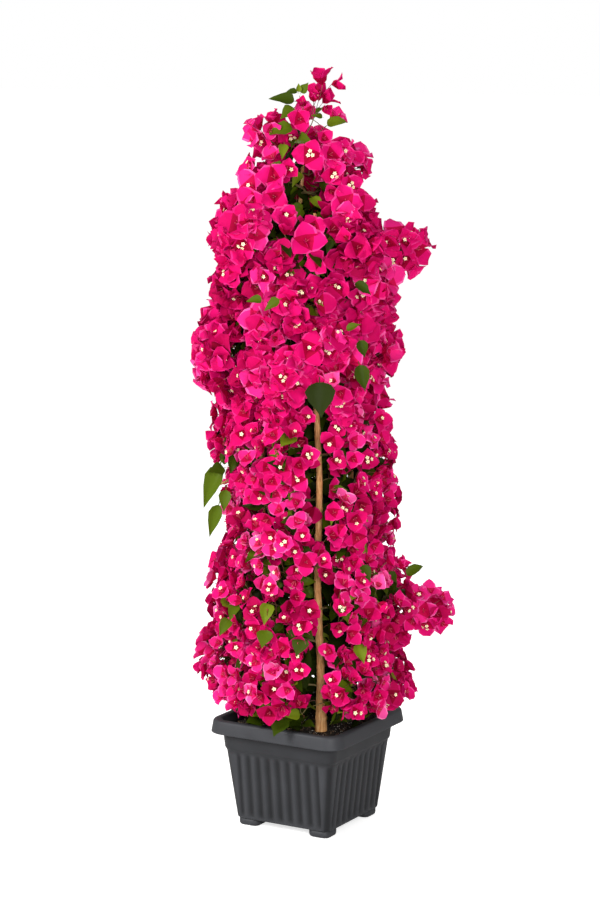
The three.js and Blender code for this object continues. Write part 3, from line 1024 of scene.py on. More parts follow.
# Leaves that stand out: the leaf's foot, the way it points, its length and its shape.
MARKED_LEAVES = [
    ((-0.020, 1.426, 0.010), (-1.0, 0.22, 0.1), 0.058, 1),
    ((-0.024, 1.418, 0.016), (-0.75, -0.55, 0.3), 0.040, 0),
    ((-0.018, 1.442, 0.004), (-0.95, 0.40, 0.1), 0.032, 2),
    ((-0.016, 1.440, 0.004), (0.55, 0.85, 0.1), 0.028, 0),
    ((-0.018, 1.442, 0.004), (-0.05, 1.0, 0.1), 0.020, 3),
    ((-0.022, 1.374, 0.034), (-0.95, 0.15, 0.3), 0.068, 2),
    ((0.030, 1.378, 0.014), (0.85, 0.50, 0.1), 0.056, 2),
    ((0.030, 1.396, 0.012), (-0.9, 0.25, 0.2), 0.026, 1),
    ((0.012, 1.404, 0.012), (0.5, 0.4, 0.6), 0.024, 0),
    ((-0.046, 1.350, 0.050), (-0.1, -0.6, 0.7), 0.040, 1),
    ((-0.012, 1.296, 0.030), (-0.5, -0.7, 0.5), 0.040, 1),
    ((0.004, 1.276, 0.030), (0.8, 0.1, 0.5), 0.040, 3),
    ((-0.014, 1.240, 0.040), (-0.4, -0.9, 0.3), 0.044, 1),
    ((0.020, 0.920, 0.200), (0.05, -0.97, 0.25), 0.078, 0),
    ((0.094, 0.945, 0.165), (0.25, -0.95, 0.25), 0.060, 1),
    ((0.188, 0.505, 0.050), (0.72, 0.68, 0.1), 0.052, 2),
    ((-0.048, 0.250, 0.140), (-0.35, -0.55, 0.7), 0.052, 0),
    ((-0.168, 0.736, 0.036), (-0.38, -0.92, 0.1), 0.104, 4),
    ((-0.172, 0.656, 0.036), (-0.30, -0.95, 0.1), 0.078, 4),
    ((-0.160, 0.722, 0.044), (-0.75, -0.10, 0.5), 0.040, 0),
    ((-0.138, 0.752, 0.044), (-0.25, -0.60, 0.7), 0.050, 3),
    ((-0.124, 0.770, 0.060), (0.30, -0.70, 0.6), 0.046, 1),
    ((-0.160, 0.684, 0.050), (-0.10, -0.90, 0.4), 0.050, 1),
    ((-0.138, 0.470, 0.112), (-0.3, -0.6, 0.7), 0.046, 1),
    ((-0.075, 0.482, 0.162), (-0.2, -0.7, 0.6), 0.050, 3),
    ((0.063, 0.482, 0.172), (0.3, -0.8, 0.5), 0.046, 1),
    ((0.102, 0.552, 0.142), (0.4, -0.7, 0.6), 0.044, 1),
    ((0.093, 0.402, 0.165), (0.3, -0.7, 0.6), 0.046, 3),
    ((0.004, 1.250, 0.062), (0.5, -0.5, 0.7), 0.044, 1),
    ((-0.014, 1.230, 0.068), (-0.3, -0.8, 0.5), 0.042, 3),
    ((0.016, 1.222, 0.072), (0.5, -0.6, 0.6), 0.044, 1),
    ((0.010, 1.264, 0.056), (-0.2, 0.3, 0.9), 0.040, 0),
    ((0.024, 1.282, 0.050), (0.4, -0.8, 0.4), 0.040, 1),
    ((-0.110, 0.246, 0.060), (-0.5, 0.3, 0.6), 0.040, 3),
    ((-0.090, 0.232, 0.100), (-0.6, 0.1, 0.7), 0.046, 0),
    ((-0.010, 0.228, 0.120), (0.4, 0.2, 0.8), 0.044, 1),
    ((0.056, 0.230, 0.100), (0.3, 0.3, 0.8), 0.042, 3),
    ((0.100, 0.232, 0.060), (0.6, 0.3, 0.6), 0.046, 0),
    ((0.130, 0.236, 0.020), (0.9, 0.3, 0.3), 0.044, 1),
    ((-0.150, 0.440, 0.120), (-0.5, -0.6, 0.6), 0.044, 3),
    ((-0.080, 0.430, 0.165), (-0.2, -0.7, 0.6), 0.044, 0),
    ((-0.010, 0.420, 0.180), (-0.3, -0.8, 0.5), 0.046, 0),
    ((-0.050, 1.066, 0.184), (-0.85, -0.50, 0.1), 0.042, 1),
    ((-0.084, 1.060, 0.176), (-0.80, 0.10, 0.2), 0.034, 3),
    ((0.082, 1.096, 0.168), (0.85, -0.50, 0.1), 0.046, 1),
    ((0.094, 0.990, 0.174), (0.30, -0.80, 0.2), 0.040, 3),
    ((0.068, 1.004, 0.178), (0.75, 0.45, 0.3), 0.034, 1),
    ((0.044, 1.176, 0.160), (-0.30, -0.70, 0.6), 0.034, 1),
]

# The front's azimuth in degrees.
VIEW = math.degrees(VIEW_AZIMUTH) - 90
# Where the foliage parts to show a stem: the azimuth of the parting in degrees, how far it lies aside, from
# which height to which, its half width, how far out it starts and how clear it is.
PARTINGS = [
    (VIEW, 0.024, 0.20, 0.265, 0.022, 0.078, 1.0),
    (VIEW, 0.023, 0.265, 0.53, 0.019, 0.078, 1.0),
    (VIEW, 0.018, 0.58, 0.89, 0.018, 0.072, 0.97),
    (VIEW, 0.014, 1.015, 1.05, 0.013, 0.070, 0.9),
    (VIEW, -0.010, 1.21, 1.32, 0.022, 0.0, 0.95),
    (226.0, 0.0, 0.69, 0.76, 0.020, 0.08, 0.9),
    (46.0, 0.0, 0.25, 0.80, 0.018, 0.08, 0.6),
    (134.0, 0.0, 0.25, 0.85, 0.018, 0.08, 0.6),
]

# The blooms that stand one by one are in layers: the depth of each under the outline, its spread, how many
# times the settings' spacing it has, and the share of its blooms high up, under the crowded sprays.
LAYERS = [(0.022, 0.007, 1.0, 0.0), (0.044, 0.010, 1.1, 0.25), (0.068, 0.012, 1.35, 1.0)]
# The leafy shoots' layers: depth, spread and distance between shoots.
SHOOT_LAYERS = [(0.080, 0.012, 0.038), (0.115, 0.015, 0.040), (0.150, 0.02, 0.045)]

# The front from the first height up, and the sides from the second, are left to blooms placed one by one.
HEAD_LOW, HEAD_SIDES = 1.20, 1.30
# Blooms and leaves deeper than this under the outline are deep in the crown.
DEEP_BLOOM, DEEP_LEAF = 0.058, 0.05
# The highest place for a leaf that a twig bears, and how far foliage stays over the planter's rim.
TOP_LEAF, CLEARANCE = 1.44, 0.004


def seen(right, z, toward):
    """A point by how far right of the axis, how high, and how far forward it lies."""
    return RIGHT * right + TOWARD * toward + UP * z


def heading(right, up, toward):
    """A direction by how far it goes right, up and forward."""
    return (RIGHT * right + UP * up + TOWARD * toward).normalized()


def in_parting(at, rng, ease=0.0):
    """True where the foliage parts to show a stem. ease narrows the partings."""
    for azimuth, offset, low, high, width, start, clear in PARTINGS:
        way = way_out(math.radians(azimuth))
        aside = at.dot(UP.cross(way)) - offset
        if abs(aside) < width - ease and low < at.z < high and at.dot(way) > start and rng.random() < clear:
            return True
    return False


def height_share(z):
    """0 where the blooms are small and single, 1 where they are large and crowded."""
    return smoothstep(0.72, 0.98, z)


def column_sites(outline, rng, depth, spread, count):
    """Places just inside the column's surface, and on top of its ledges, as (point, way out)."""
    made = []
    while len(made) < count:
        angle, z = rng.uniform(0, math.tau), rng.uniform(outline.low + 0.012, outline.high)
        surface = outline.at(angle, z)
        sunk = depth - 0.010 * (1 - smoothstep(0.46, 0.56, z)) + 0.006 * height_share(z)
        radius = surface - sunk - 0.010 * smoothstep(1.22, 1.27, z) + rng.uniform(-spread, spread)
        if radius < 0.02 or rng.random() > surface / 0.24:
            continue
        made.append((way_out(angle) * radius + UP * z, outline.facing(angle, z)))
    for _ in range(count // 5):
        angle, radius = rng.uniform(0, math.tau), 0.2 * math.sqrt(rng.random())
        above = Vector((math.cos(angle) * radius, math.sin(angle) * radius, 1.6))
        hit, normal, _, _ = outline.tree.ray_cast(above, -UP)
        if hit is None or hit.z < 1.0 or normal.z < 0.35:
            continue
        at = hit - UP * (depth + rng.uniform(-spread, spread))
        if radius < outline.at(angle, at.z) - depth - 0.004:
            made.append((at, normal.copy()))
    return made


def spray_sites(name, rng, count):
    """Places in the outer part of a mass that stands on its own."""
    low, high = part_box(name)
    tree = node_tree([name])
    made = []
    while len(made) < count:
        at = Vector(rng.uniform(low[i], high[i]) for i in range(3))
        hit, normal, _, distance = tree.find_nearest(at)
        if (at - hit).dot(normal) < 0 and 0.022 < distance < 0.042:
            made.append((at, normal.copy()))
    return made


class Plant:
    """The plant that the branching rule grows: its joints, its blooms, and its leafy shoots."""

    def __init__(self, scene):
        self.settings, self.sizes = scene.growth_settings, scene.bloom_settings
        self.rng = random.Random(self.settings.seed)
        # The twigs' sway has a seed of its own, which may not be 0.
        noise.seed_set(self.settings.seed + 1)
        self.outline = Outline()
        self.growth = Growth(self.settings)
        self.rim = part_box("planter")[1]
        for name in STEMS + BOUGHS:
            self.growth.limb(name)
        self.sprays, self.shoots = [], []
        self.crowded_sprays()
        self.single_blooms()
        self.side_sprays()
        self.grow_sprays()
        self.grow_top()
        self.grow_shoots()
        self.blooms = [bloom for spray in self.sprays for bloom in spray]

    def spacing(self, at):
        """The distance between blooms, which varies by patches."""
        wide = mix(self.settings.spacing_low, self.settings.spacing_high, height_share(at.z))
        return wide * (1 + 0.28 * noise.noise(at * 9 + Vector((3, 1, 7))))

    def allowed(self, at):
        """Whether a bloom may stand here."""
        over_rim = max(abs(at.x), abs(at.y)) > self.rim.x - 0.045
        if at.z < self.rim.z + (0.040 if over_rim else CLEARANCE) or in_parting(at, self.rng):
            return False
        # The head narrows, and its front is made of the sprigs that are placed one by one.
        aside, toward = at.dot(RIGHT), at.dot(TOWARD)
        narrowing = smoothstep(1.22, 1.29, at.z)
        if at.z > HEAD_LOW and not mix(-0.155, -0.10, narrowing) < aside < mix(0.135, 0.085, narrowing):
            return False
        if at.z > HEAD_SIDES and (toward > -0.01 or abs(aside) > 0.085 or at.z > 1.37):
            return False
        if at.z > HEAD_LOW and toward > 0.02 and -0.035 < aside < 0.03:
            return False
        # Here and there a patch is left to the leaves.
        return noise.noise(at * 13) < 0.36 or self.rng.random() < 0.3

    def length(self, at):
        low, high = self.sizes.bract_low, self.sizes.bract_high
        return mix(low, high, height_share(at.z)) * self.rng.uniform(0.86, 1.14)

    def crowded_sprays(self):
        """High up, and on the bough that stands out at the back, the blooms crowd in domed sprays."""
        rng = self.rng
        sites = column_sites(self.outline, rng, 0.050, 0.010, 6000)
        sites = [item for item in sites if rng.random() < height_share(item[0].z)]
        self.crowd(sites, self.settings.spray_spacing, 0.031, 12)
        self.crowd(spray_sites("back_left_spray", rng, 200), 0.038, 0.014, 8)

    def crowd(self, sites, apart, reach, count):
        """Domes of blooms on these places. reach is how far the blooms stand from a dome's middle."""
        rng = self.rng
        for at, normal in spaced(sites, lambda p: apart, rng):
            if not self.allowed(at):
                continue
            spray = []
            start = rng.uniform(0, math.tau)
            side = normal.orthogonal()
            for k in range(count + rng.randint(-1, 1)):
                tilt = 1.3 * math.sqrt((k + 0.15) / count) + rng.uniform(-0.08, 0.08)
                way = Quaternion(normal, start + k * 2.4) @ side
                facing = (normal * math.cos(tilt) + way * math.sin(tilt)).normalized()
                foot = at + facing * reach * rng.uniform(0.9, 1.1)
                if not in_parting(foot, rng) and foot.z > self.rim.z:
                    spray.append(Bloom(foot, turned(facing, 0.2, rng), self.length(foot)))
            if spray:
                self.sprays.append(spray)

    def single_blooms(self):
        """Low down, and under the crowded sprays, the blooms stand evenly."""
        rng = self.rng
        for depth, spread, wider, high_share in LAYERS:
            sites = column_sites(self.outline, rng, depth, spread, 14000)
            if depth == LAYERS[0][0]:
                sites += spray_sites("back_left_spray", rng, 300)
            sites = [item for item in sites if rng.random() < mix(1.0, high_share, height_share(item[0].z))]
            sites = spaced(sites, lambda p: wider * self.spacing(p), rng)
            places = [item for item in sites if self.allowed(item[0])]
            blooms = []
            for at, normal in places:
                facing = turned((normal + UP * 0.12).normalized(), self.sizes.turn, rng)
                blooms.append(Bloom(at, facing, self.length(at)))
            self.sprays += gathered(blooms, self.settings.group, rng)

    def grow_sprays(self):
        """Grows a twig to each spray, the innermost first, and a stalk to each of its blooms."""
        rng = self.rng
        bases = []
        for spray in self.sprays:
            for bloom in spray:
                # Low blooms lift clear of the compost.
                bloom.at.z += 0.3 * max(0.0, self.rim.z + 0.05 - bloom.at.z)
            centre = sum((b.at for b in spray), Vector()) / len(spray)
            out = sum((b.facing for b in spray), Vector()).normalized()
            radial = Vector((centre.x, centre.y, 0)).normalized()
            base = centre - (out * 0.4 + radial * 0.6) * 0.034 - UP * 0.012
            base.z = max(base.z, self.rim.z - 0.006)
            bases.append((base, out, spray))
        bases.sort(key=lambda item: math.hypot(item[0].x, item[0].y))
        for base, out, spray in bases:
            last = self.growth.twig(base, out)
            tint = spray_tint(rng, base.z)
            for bloom in spray:
                bloom.tint = self.shade(bloom, tint if rng.random() < 0.7 else spray_tint(rng, base.z))
                self.growth.twig(bloom.at, bloom.facing, last, 0.05)

    def shade(self, bloom, tint):
        """Painted shade: a spray's colour is dealt a step deeper on blooms that look down, and deepest far
        inside the crown, where shade falls.
        """
        if self.outline.depth(bloom.at) > DEEP_BLOOM:
            return min(tint, 1)
        return max(0, tint - 1) if bloom.facing.z < -0.15 else tint

    def grow_top(self):
        """The leader, the sprigs that it carries and the blooms on them."""
        rng = self.rng
        root = self.growth.nearest(seen(-0.012, 1.30, 0.0), 0.0)
        for at in (seen(-0.011, 1.345, 0.002), seen(-0.008, 1.39, 0.006), seen(-0.017, 1.438, 0.004)):
            root = self.growth.twig(at, UP, root, 0.05)
        root = self.growth.nearest(seen(-0.011, 1.35, 0.002), 0.0)
        for at in (seen(0.010, 1.395, 0.008), seen(0.020, 1.43, 0.004)):
            root = self.growth.twig(at, UP, root, 0.05)
        spray = []
        for place, way, length, kind in TOP_BLOOMS:
            facing = turned(heading(*way), 0.06, rng)
            # The topmost are dusky.
            tint = 1 if place[1] > 1.415 else rng.choice([2, 3, 3, 4])
            spray.append(Bloom(seen(*place), facing, length, kind, tint))
        for bloom in sorted(spray, key=lambda b: b.at.z):
            source = self.growth.nearest(bloom.at - UP * 0.02, 0.008)
            self.growth.twig(bloom.at, bloom.facing, source, 0.05)
        self.sprays.append(spray)

    def side_sprays(self):
        """The sprays that stand out on the right, placed bloom by bloom."""
        for blooms in (LOW_SIDE_BLOOMS, HIGH_SIDE_BLOOMS):
            spray = []
            for place, way, length, kind in blooms:
                spray.append(Bloom(seen(*place), turned(heading(*way), 0.1, self.rng), length, kind))
            self.sprays.append(spray)

    def grow_shoots(self):
        """Leafy shoots without blooms, deep in the crown."""
        rng = self.rng
        for depth, spread, apart in SHOOT_LAYERS:
            sites = spaced(column_sites(self.outline, rng, depth, spread, 5000), lambda p: apart, rng)
            for at, normal in sites:
                if at.z < self.rim.z + CLEARANCE or in_parting(at, rng):
                    continue
                facing = turned(normal, 0.4, rng)
                self.shoots.append((self.growth.twig(at, facing), facing))


def gathered(blooms, group, rng):
    """Neighbouring blooms, gathered into sprays."""
    places = np.array([tuple(b.at) for b in blooms])
    free = np.ones(len(blooms), bool)
    sprays = []
    for i in sorted(range(len(blooms)), key=lambda k: math.hypot(*blooms[k].at[:2])):
        if not free[i]:
            continue
        distance = np.linalg.norm(places - places[i], axis=1)
        distance[~free] = FAR
        members = [int(k) for k in np.argsort(distance)[: rng.randint(group - 2, group + 2)]]
        members = [k for k in members if distance[k] < 0.06]
        free[members] = False
        sprays.append([blooms[k] for k in members])
    return sprays


def spray_tint(rng, z):
    """The colour that a spray is dealt: mostly the middle ones, and a little deeper high up."""
    return rng.choices([0, 1, 2, 3, 4, 5], [2, 4, 7, 7, 4, 2] if z < 0.9 else [3, 5, 7, 5, 3, 1])[0]


def grown(scene):
    """The plant. It's grown once, for all the operators that show a part of it."""
    if not hasattr(grown, "plant"):
        grown.plant = Plant(scene)
    return grown.plant


# --- Twigs ----------------------------------------------------------------------------------------


def twig_tree(material):
    """Sweeps a ring along each curve, as wide as the curve's own radius there."""
    tree, given = node_group("swept_twigs", "Twigs", Lines="Geometry", Sides="Int")
    ring = add_node(tree, "GeometryNodeCurvePrimitiveCircle", {"Resolution": given["Sides"], "Radius": 1.0})
    swept = add_node(
        tree,
        "GeometryNodeCurveToMesh",
        {
            "Curve": given["Lines"],
            "Profile Curve": ring.outputs["Curve"],
            "Scale": add_node(tree, "GeometryNodeInputRadius").outputs[0],
            "Fill Caps": True,
        },
    )
    smoothed = {"Geometry": swept.outputs[0], "Shade Smooth": True}
    smooth = add_node(tree, "GeometryNodeSetShadeSmooth", smoothed)
    end_group(tree, "Twigs", smooth.outputs[0], material)
    return tree


def curves_object(name, runs):
    """An object of straight-sided curves from runs of (point, radius)."""
    data = bpy.data.curves.new(name, "CURVE")
    data.dimensions = "3D"
    for run in runs:
        spline = data.splines.new("POLY")
        spline.points.add(len(run) - 1)
        for point, (at, radius) in zip(spline.points, run):
            point.co = (*at, 1)
            point.radius = radius
    return new_object(name, data)


class BOUGAINVILLEA_OT_twigs(bpy.types.Operator):
    """Makes the boughs and twigs that the branching rule grows, and the stalks of the blooms"""

    bl_idname = "bougainvillea.twigs"
    bl_label = "Twigs"

    def execute(self, context):
        settings = context.scene.growth_settings
        growth = grown(context.scene).growth
        runs, carried = growth.chains()
        woody, green = [], []
        for run in runs:
            line = []
            for i in run:
                load = carried[i] if i >= growth.wooden else carried[run[1]]
                line.append((Vector(growth.points[i]), settings.tip_radius * max(1, load) ** 0.42))
            (woody if carried[run[1]] > 1 else green).append(line)
        # Brown young wood for what carries several blooms, and soft green-red stalks for single ones.
        twig = plain_material("young_wood", "6f6138", 0.7)
        stalk = plain_material("soft_stalk", "7c4a3a", 0.6)
        for name, lines, sides, material in [("twigs", woody, 6, twig), ("stalks", green, 4, stalk)]:
            curves = curves_object(name + "_lines", lines)
            keep(plain_mesh_of(curves, twig_tree(material), name, Sides=sides))
        return {"FINISHED"}


# --- Bracts, flowers and leaves -------------------------------------------------------------------


def blade(length, rows, columns, half_width, lean_at, lift_at):
    """A blade that starts at the origin and leans away from +Z in the XZ plane: corners, faces and shares.

    rows are shares of its length, and columns are shares of its half width. half_width gives the half width
    at a row, lean_at the lean from +Z, and lift_at how far a point rises off the midrib, on the inner side.
    """
    vertices, faces, shares = [], [], []
    at, before = Vector((0, 0, 0)), 0.0
    for u in rows:
        lean = lean_at((u + before) / 2)
        at = at + Vector((math.sin(lean), 0, math.cos(lean))) * (u - before) * length
        before = u
        lean = lean_at(u)
        up = Vector((-math.cos(lean), 0, math.sin(lean)))
        half = half_width(u) * length
        row = [0.0] if u == 1.0 else columns
        for v in row:
            vertices.append(at + Vector((0, 1, 0)) * half * v + up * lift_at(u, v, half))
        shares += [(u, v) for v in row]
    across = len(columns)
    for r in range(len(rows) - 1):
        for c in range(across - 1):
            a = r * across + c
            if rows[r + 1] == 1.0:
                faces.append((a, a + 1, (r + 1) * across))
            else:
                faces.append((a, a + 1, a + across + 1, a + across))
    return vertices, faces, shares


# Each kind of bloom: how far its bracts lean at foot and tip in degrees, and how wide, cupped and ruffled
# they are.
BLOOM_KINDS = {
    "cup": (12, 44, 0.78, 0.40, 0.04),
    "open": (34, 76, 0.96, 0.20, 0.08),
    "round": (42, 80, 1.08, 0.26, 0.06),
    "ruffled": (34, 88, 1.04, 0.10, 0.24),
    "wide": (50, 98, 1.04, 0.12, 0.14),
    "folded": (22, 66, 0.92, 0.50, 0.14),
    "pointed": (18, 62, 0.66, 0.34, 0.08),
}


# Half widths of a bract and of a leaf at shares of their lengths: broad below, and drawn out to a point.
BRACT_OUTLINE = [(0.0, 0.05), (0.15, 0.35), (0.38, 0.50), (0.64, 0.45), (0.86, 0.21), (1.0, 0.0)]
LEAF_OUTLINE = [(0.0, 0.10), (0.08, 0.33), (0.26, 0.46), (0.52, 0.36), (0.80, 0.12), (1.0, 0.0)]


def width_at(outline, share):
    """The half width at a share of the length."""
    return float(np.interp(share, [u for u, _ in outline], [w for _, w in outline]))


def bloom_template(kind, seed):
    """Three bracts, about one unit long, round +Z. Tone 0 is painted shade at each bract's foot, 1 the blade
    and 2 a painted highlight along its edges and tip.
    """
    rng = random.Random(seed)
    foot, tip, wide, cup, ruffle = BLOOM_KINDS[kind]
    vertices, faces, tones = [], [], []
    for third in range(3):
        lean_foot = math.radians(foot + rng.uniform(-8, 8))
        lean_tip = math.radians(tip + rng.uniform(-14, 14))
        phase, twist = rng.uniform(0, 6), rng.uniform(-0.14, 0.14)

        def lift_at(u, v, half):
            wave = ruffle * math.sin(8.5 * u + phase + 2.4 * v) * abs(v) ** 1.3 * min(1.0, 2 * u)
            return cup * half * abs(v) ** 1.7 + wave + twist * half * v

        points, quads, shares = blade(
            rng.uniform(0.92, 1.08),
            [u for u, _ in BRACT_OUTLINE],
            [-1.0, -0.8, 0.0, 0.8, 1.0],
            lambda u: wide * width_at(BRACT_OUTLINE, u),
            lambda u: mix(lean_foot, lean_tip, u**1.2),
            lift_at,
        )
        turn = Matrix.Rotation(math.radians(120 * third + rng.uniform(-9, 9)), 3, "Z")
        start = len(vertices)
        vertices += [turn @ (p + Vector((0.02, 0, 0))) for p in points]
        for quad in quads:
            faces.append(tuple(start + i for i in quad))
            # Painted light: faces near a bract's foot take the deeper colour as painted shade, faces at its
            # edges and tip the paler one as a painted highlight.
            u = sum(shares[i][0] for i in quad) / len(quad)
            v = min(abs(shares[i][1]) for i in quad)
            tones.append(0 if u < 0.3 else 2 if v > 0.5 or u > 0.93 else 1)
    return vertices, faces, tones


def flower_template(opened, seed):
    """The three thin flowers in a bloom, of one unit's size. Tone 0 is the tube, 1 a star, 2 its eye."""
    rng = random.Random(seed)
    vertices, faces, tones = [], [], []
    for third in range(3):
        turn = Matrix.Rotation(math.radians(120 * third + 25 + rng.uniform(-15, 15)), 3, "Z")
        lean = math.radians(rng.uniform(10, 22))
        way = turn @ Vector((math.sin(lean), 0, math.cos(lean)))
        side = way.cross(Vector((0.3, 0.9, 0.1))).normalized()
        other = way.cross(side)
        is_open = third < opened
        length = rng.uniform(0.52, 0.62) if is_open else rng.uniform(0.36, 0.48)

        def around(count, radius, along):
            angles = [k / count * math.tau for k in range(count)]
            radii = radius if isinstance(radius, list) else [radius] * count
            return [
                way * along + (side * math.cos(t) + other * math.sin(t)) * r for t, r in zip(angles, radii)
            ]

        start = len(vertices)
        vertices += around(4, 0.022, 0.0) + around(4, 0.034, length)
        faces += [(start + k, start + (k + 1) % 4, start + 4 + (k + 1) % 4, start + 4 + k) for k in range(4)]
        tones += [0] * 4
        head = len(vertices)
        if is_open:
            vertices += around(10, [0.155, 0.100] * 5, length + 0.035) + [way * (length + 0.005)]
            faces += [(head + k, head + (k + 1) % 10, head + 10) for k in range(10)]
            vertices += around(5, 0.048, length + 0.036)
            faces.append(tuple(range(head + 11, head + 16)))
            tones += [1] * 10 + [2]
        else:
            vertices.append(way * (length + 0.07))
            faces += [(start + 4 + k, start + 4 + (k + 1) % 4, head) for k in range(4)]
            tones += [0] * 4
    return vertices, faces, tones


def leaf_template(wide, fold, droop, rows):
    """A pointed leaf on its stalk, one unit long along +Z at its foot. Its face looks along -X."""

    blade_length = 0.86
    points, quads, _ = blade(
        blade_length,
        rows,
        [-1.0, -0.5, 0.0, 0.5, 1.0],
        lambda u: wide * width_at(LEAF_OUTLINE, u),
        lambda u: math.radians(mix(4, droop, u**1.3)),
        lambda u, v, half: fold * half * abs(v) + 0.03 * math.sin(9 * u + fold * 7) * v,
    )
    stalk = Vector((0, 0, 1 - blade_length))
    vertices = [p + stalk for p in points]
    start = len(vertices)
    vertices += [Vector((0, s * 0.012, z)) for z in (0.0, 1 - blade_length + 0.02) for s in (-1, 1)]
    faces = list(quads) + [(start, start + 1, start + 3, start + 2)]
    return vertices, faces, [0] * len(faces)


def template_object(name, vertices, faces, tones):
    """A template, with each face's tone as an attribute."""
    mesh = bpy.data.meshes.new(name)
    mesh.from_pydata([tuple(v) for v in vertices], [], faces)
    mesh.polygons.foreach_set("use_smooth", [True] * len(faces))
    tone = mesh.attributes.new("tone", "INT", "FACE")
    tone.data.foreach_set("value", tones)
    return bpy.data.objects.new(name, mesh)


def dealing_tree(name, collection, materials, tones):
    """Sets one of a collection's templates on every point, and deals out the colours.

    The points carry turn (a rotation as Euler angles), size, kind (which template) and tint. A face's colour
    is number tint * tones + tone of the materials.
    """
    tree, given = node_group(name, "Pieces", Points="Geometry", Size="Float")

    def named(attribute, kind):
        node = add_node(tree, "GeometryNodeInputNamedAttribute", {"Name": attribute}, data_type=kind)
        return node.outputs["Attribute"]

    info = add_node(
        tree, "GeometryNodeCollectionInfo", {"Collection": collection, "Separate Children": True}
    )
    turn = add_node(tree, "FunctionNodeEulerToRotation", {"Euler": named("turn", "FLOAT_VECTOR")})
    scaled = {0: named("size", "FLOAT"), 1: given["Size"]}
    size = add_node(tree, "ShaderNodeMath", scaled, operation="MULTIPLY")
    placed = add_node(
        tree,
        "GeometryNodeInstanceOnPoints",
        {
            "Points": given["Points"],
            "Instance": info.outputs[0],
            "Pick Instance": True,
            "Instance Index": named("kind", "INT"),
            "Rotation": turn.outputs[0],
            "Scale": size.outputs[0],
        },
    )
    shape = add_node(tree, "GeometryNodeRealizeInstances", {"Geometry": placed.outputs[0]}).outputs[0]
    number = add_node(
        tree,
        "ShaderNodeMath",
        {0: named("tint", "INT"), 1: float(tones), 2: named("tone", "INT")},
        operation="MULTIPLY_ADD",
    )
    for i, material in enumerate(materials):
        dealt = add_node(
            tree,
            "FunctionNodeCompare",
            {0: number.outputs[0], 1: float(i), "Epsilon": 0.3},
            data_type="FLOAT",
            operation="EQUAL",
        )
        done = add_node(
            tree,
            "GeometryNodeSetMaterial",
            {"Geometry": shape, "Selection": dealt.outputs[0], "Material": material},
        )
        shape = done.outputs[0]
    add_node(tree, "NodeGroupOutput", {"Pieces": shape})
    return tree


def point_cloud(name, places):
    """An object of loose points from (place, rotation, size, kind, tint)."""
    points, turns, sizes, kinds, tints = zip(*places)
    mesh = bpy.data.meshes.new(name)
    mesh.from_pydata([tuple(p) for p in points], [], [])
    cloud = new_object(name, mesh)
    angles = [angle for turn in turns for angle in turn.to_euler()]
    mesh.attributes.new("turn", "FLOAT_VECTOR", "POINT").data.foreach_set("vector", angles)
    for name, form, values in [("size", "FLOAT", sizes), ("kind", "INT", kinds), ("tint", "INT", tints)]:
        mesh.attributes.new(name, form, "POINT").data.foreach_set("value", values)
    return cloud


def dealt_piece(name, templates, places, materials, tones):
    """One joined mesh of templates set on places."""
    collection = bpy.data.collections.new(name + "_templates")
    for template in templates:
        collection.objects.link(template)
    tree = dealing_tree(name + "_dealing", collection, materials, tones)
    made = plain_mesh_of(point_cloud(name + "_points", places), tree, name, Size=1.0)
    for template in templates:
        bpy.data.objects.remove(template)
    bpy.data.collections.remove(collection)
    return made


def facing_turn(facing, spin):
    """The rotation that points +Z along facing, after a spin about it."""
    return facing.to_track_quat("Z", "Y") @ Quaternion(UP, spin)


# Bougainvillea bracts are thin as paper. Light comes through them; their faint glow in their own colour is
# painted light that stands in for it. From the deepest to the palest, each as its foot in painted shade, its
# blade, and its edges with a painted highlight.
BRACT_COLOURS = [
    ("820228", "a80446", "b80e5a"),
    ("940230", "be0556", "cc1a6c"),
    ("a00234", "cd0860", "da2878"),
    ("aa043a", "d50e6a", "e23e88"),
    ("b60844", "de227a", "e6589c"),
    ("c41c54", "e84e98", "f280b4"),
]
LEAF_COLOURS = ["222c04", "344406", "4c5e0a", "667614", "84922a"]
FLOWER_COLOURS = ["b83a52", "f6e8c4", "e2c860"]
BLOOM_BANDS = [("low_bracts", 0.0, 0.46), ("middle_bracts", 0.46, 0.82), ("high_bracts", 0.82, 1.08)]
BLOOM_BANDS += [("top_bracts", 1.08, 9.0)]


class BOUGAINVILLEA_OT_bracts(bpy.types.Operator):
    """Makes the blooms' bracts in threes, in sprays of one colour"""

    bl_idname = "bougainvillea.bracts"
    bl_label = "Bracts"

    def execute(self, context):
        plant = grown(context.scene)
        rng = random.Random(plant.settings.seed + 1)
        # Painted light: each bract glows faintly in its own colour, standing in for light that comes through
        # the thin bracts.
        materials = [
            plain_material(
                f"papery_bract_{part}_{i + 1}",
                colour,
                0.7,
                Specular_IOR_Level=0.06,
                Emission_Color=linear(colour),
                Emission_Strength=0.07,
            )
            for i, parts in enumerate(BRACT_COLOURS)
            for part, colour in zip(("shaded_throat", "blade", "highlit_margin"), parts)
        ]
        kinds = list(BLOOM_KINDS)
        low_kinds, high_kinds = [1, 4, 4, 1, 2, 1, 0], [1, 2, 1, 6, 3, 2, 0]
        places = []
        for bloom in plant.blooms:
            share = height_share(bloom.at.z)
            weights = [mix(a, b, share) for a, b in zip(low_kinds, high_kinds)]
            kind = kinds.index(bloom.kind) if bloom.kind else rng.choices(range(len(kinds)), weights)[0]
            bloom.turn = facing_turn(bloom.facing, rng.uniform(0, math.tau))
            places.append((bloom.at, bloom.turn, bloom.length, kind * 2 + rng.randint(0, 1), bloom.tint))
        masses = TIER_MASSES + [name for name in SPRAY_MASSES if name != "left_leaf_spray"]
        for name, low, high in BLOOM_BANDS:
            templates = [
                template_object(f"bloom_{kind}_{variant}", *bloom_template(kinds[kind], kind * 10 + variant))
                for kind in range(len(kinds))
                for variant in range(2)
            ]
            chosen = [p for p in places if low <= p[0].z < high]
            piece = dealt_piece(name, templates, chosen, materials, 3)
            keep(piece, [m for m in masses if low <= sum(c.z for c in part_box(m)) / 2 < high])
        return {"FINISHED"}


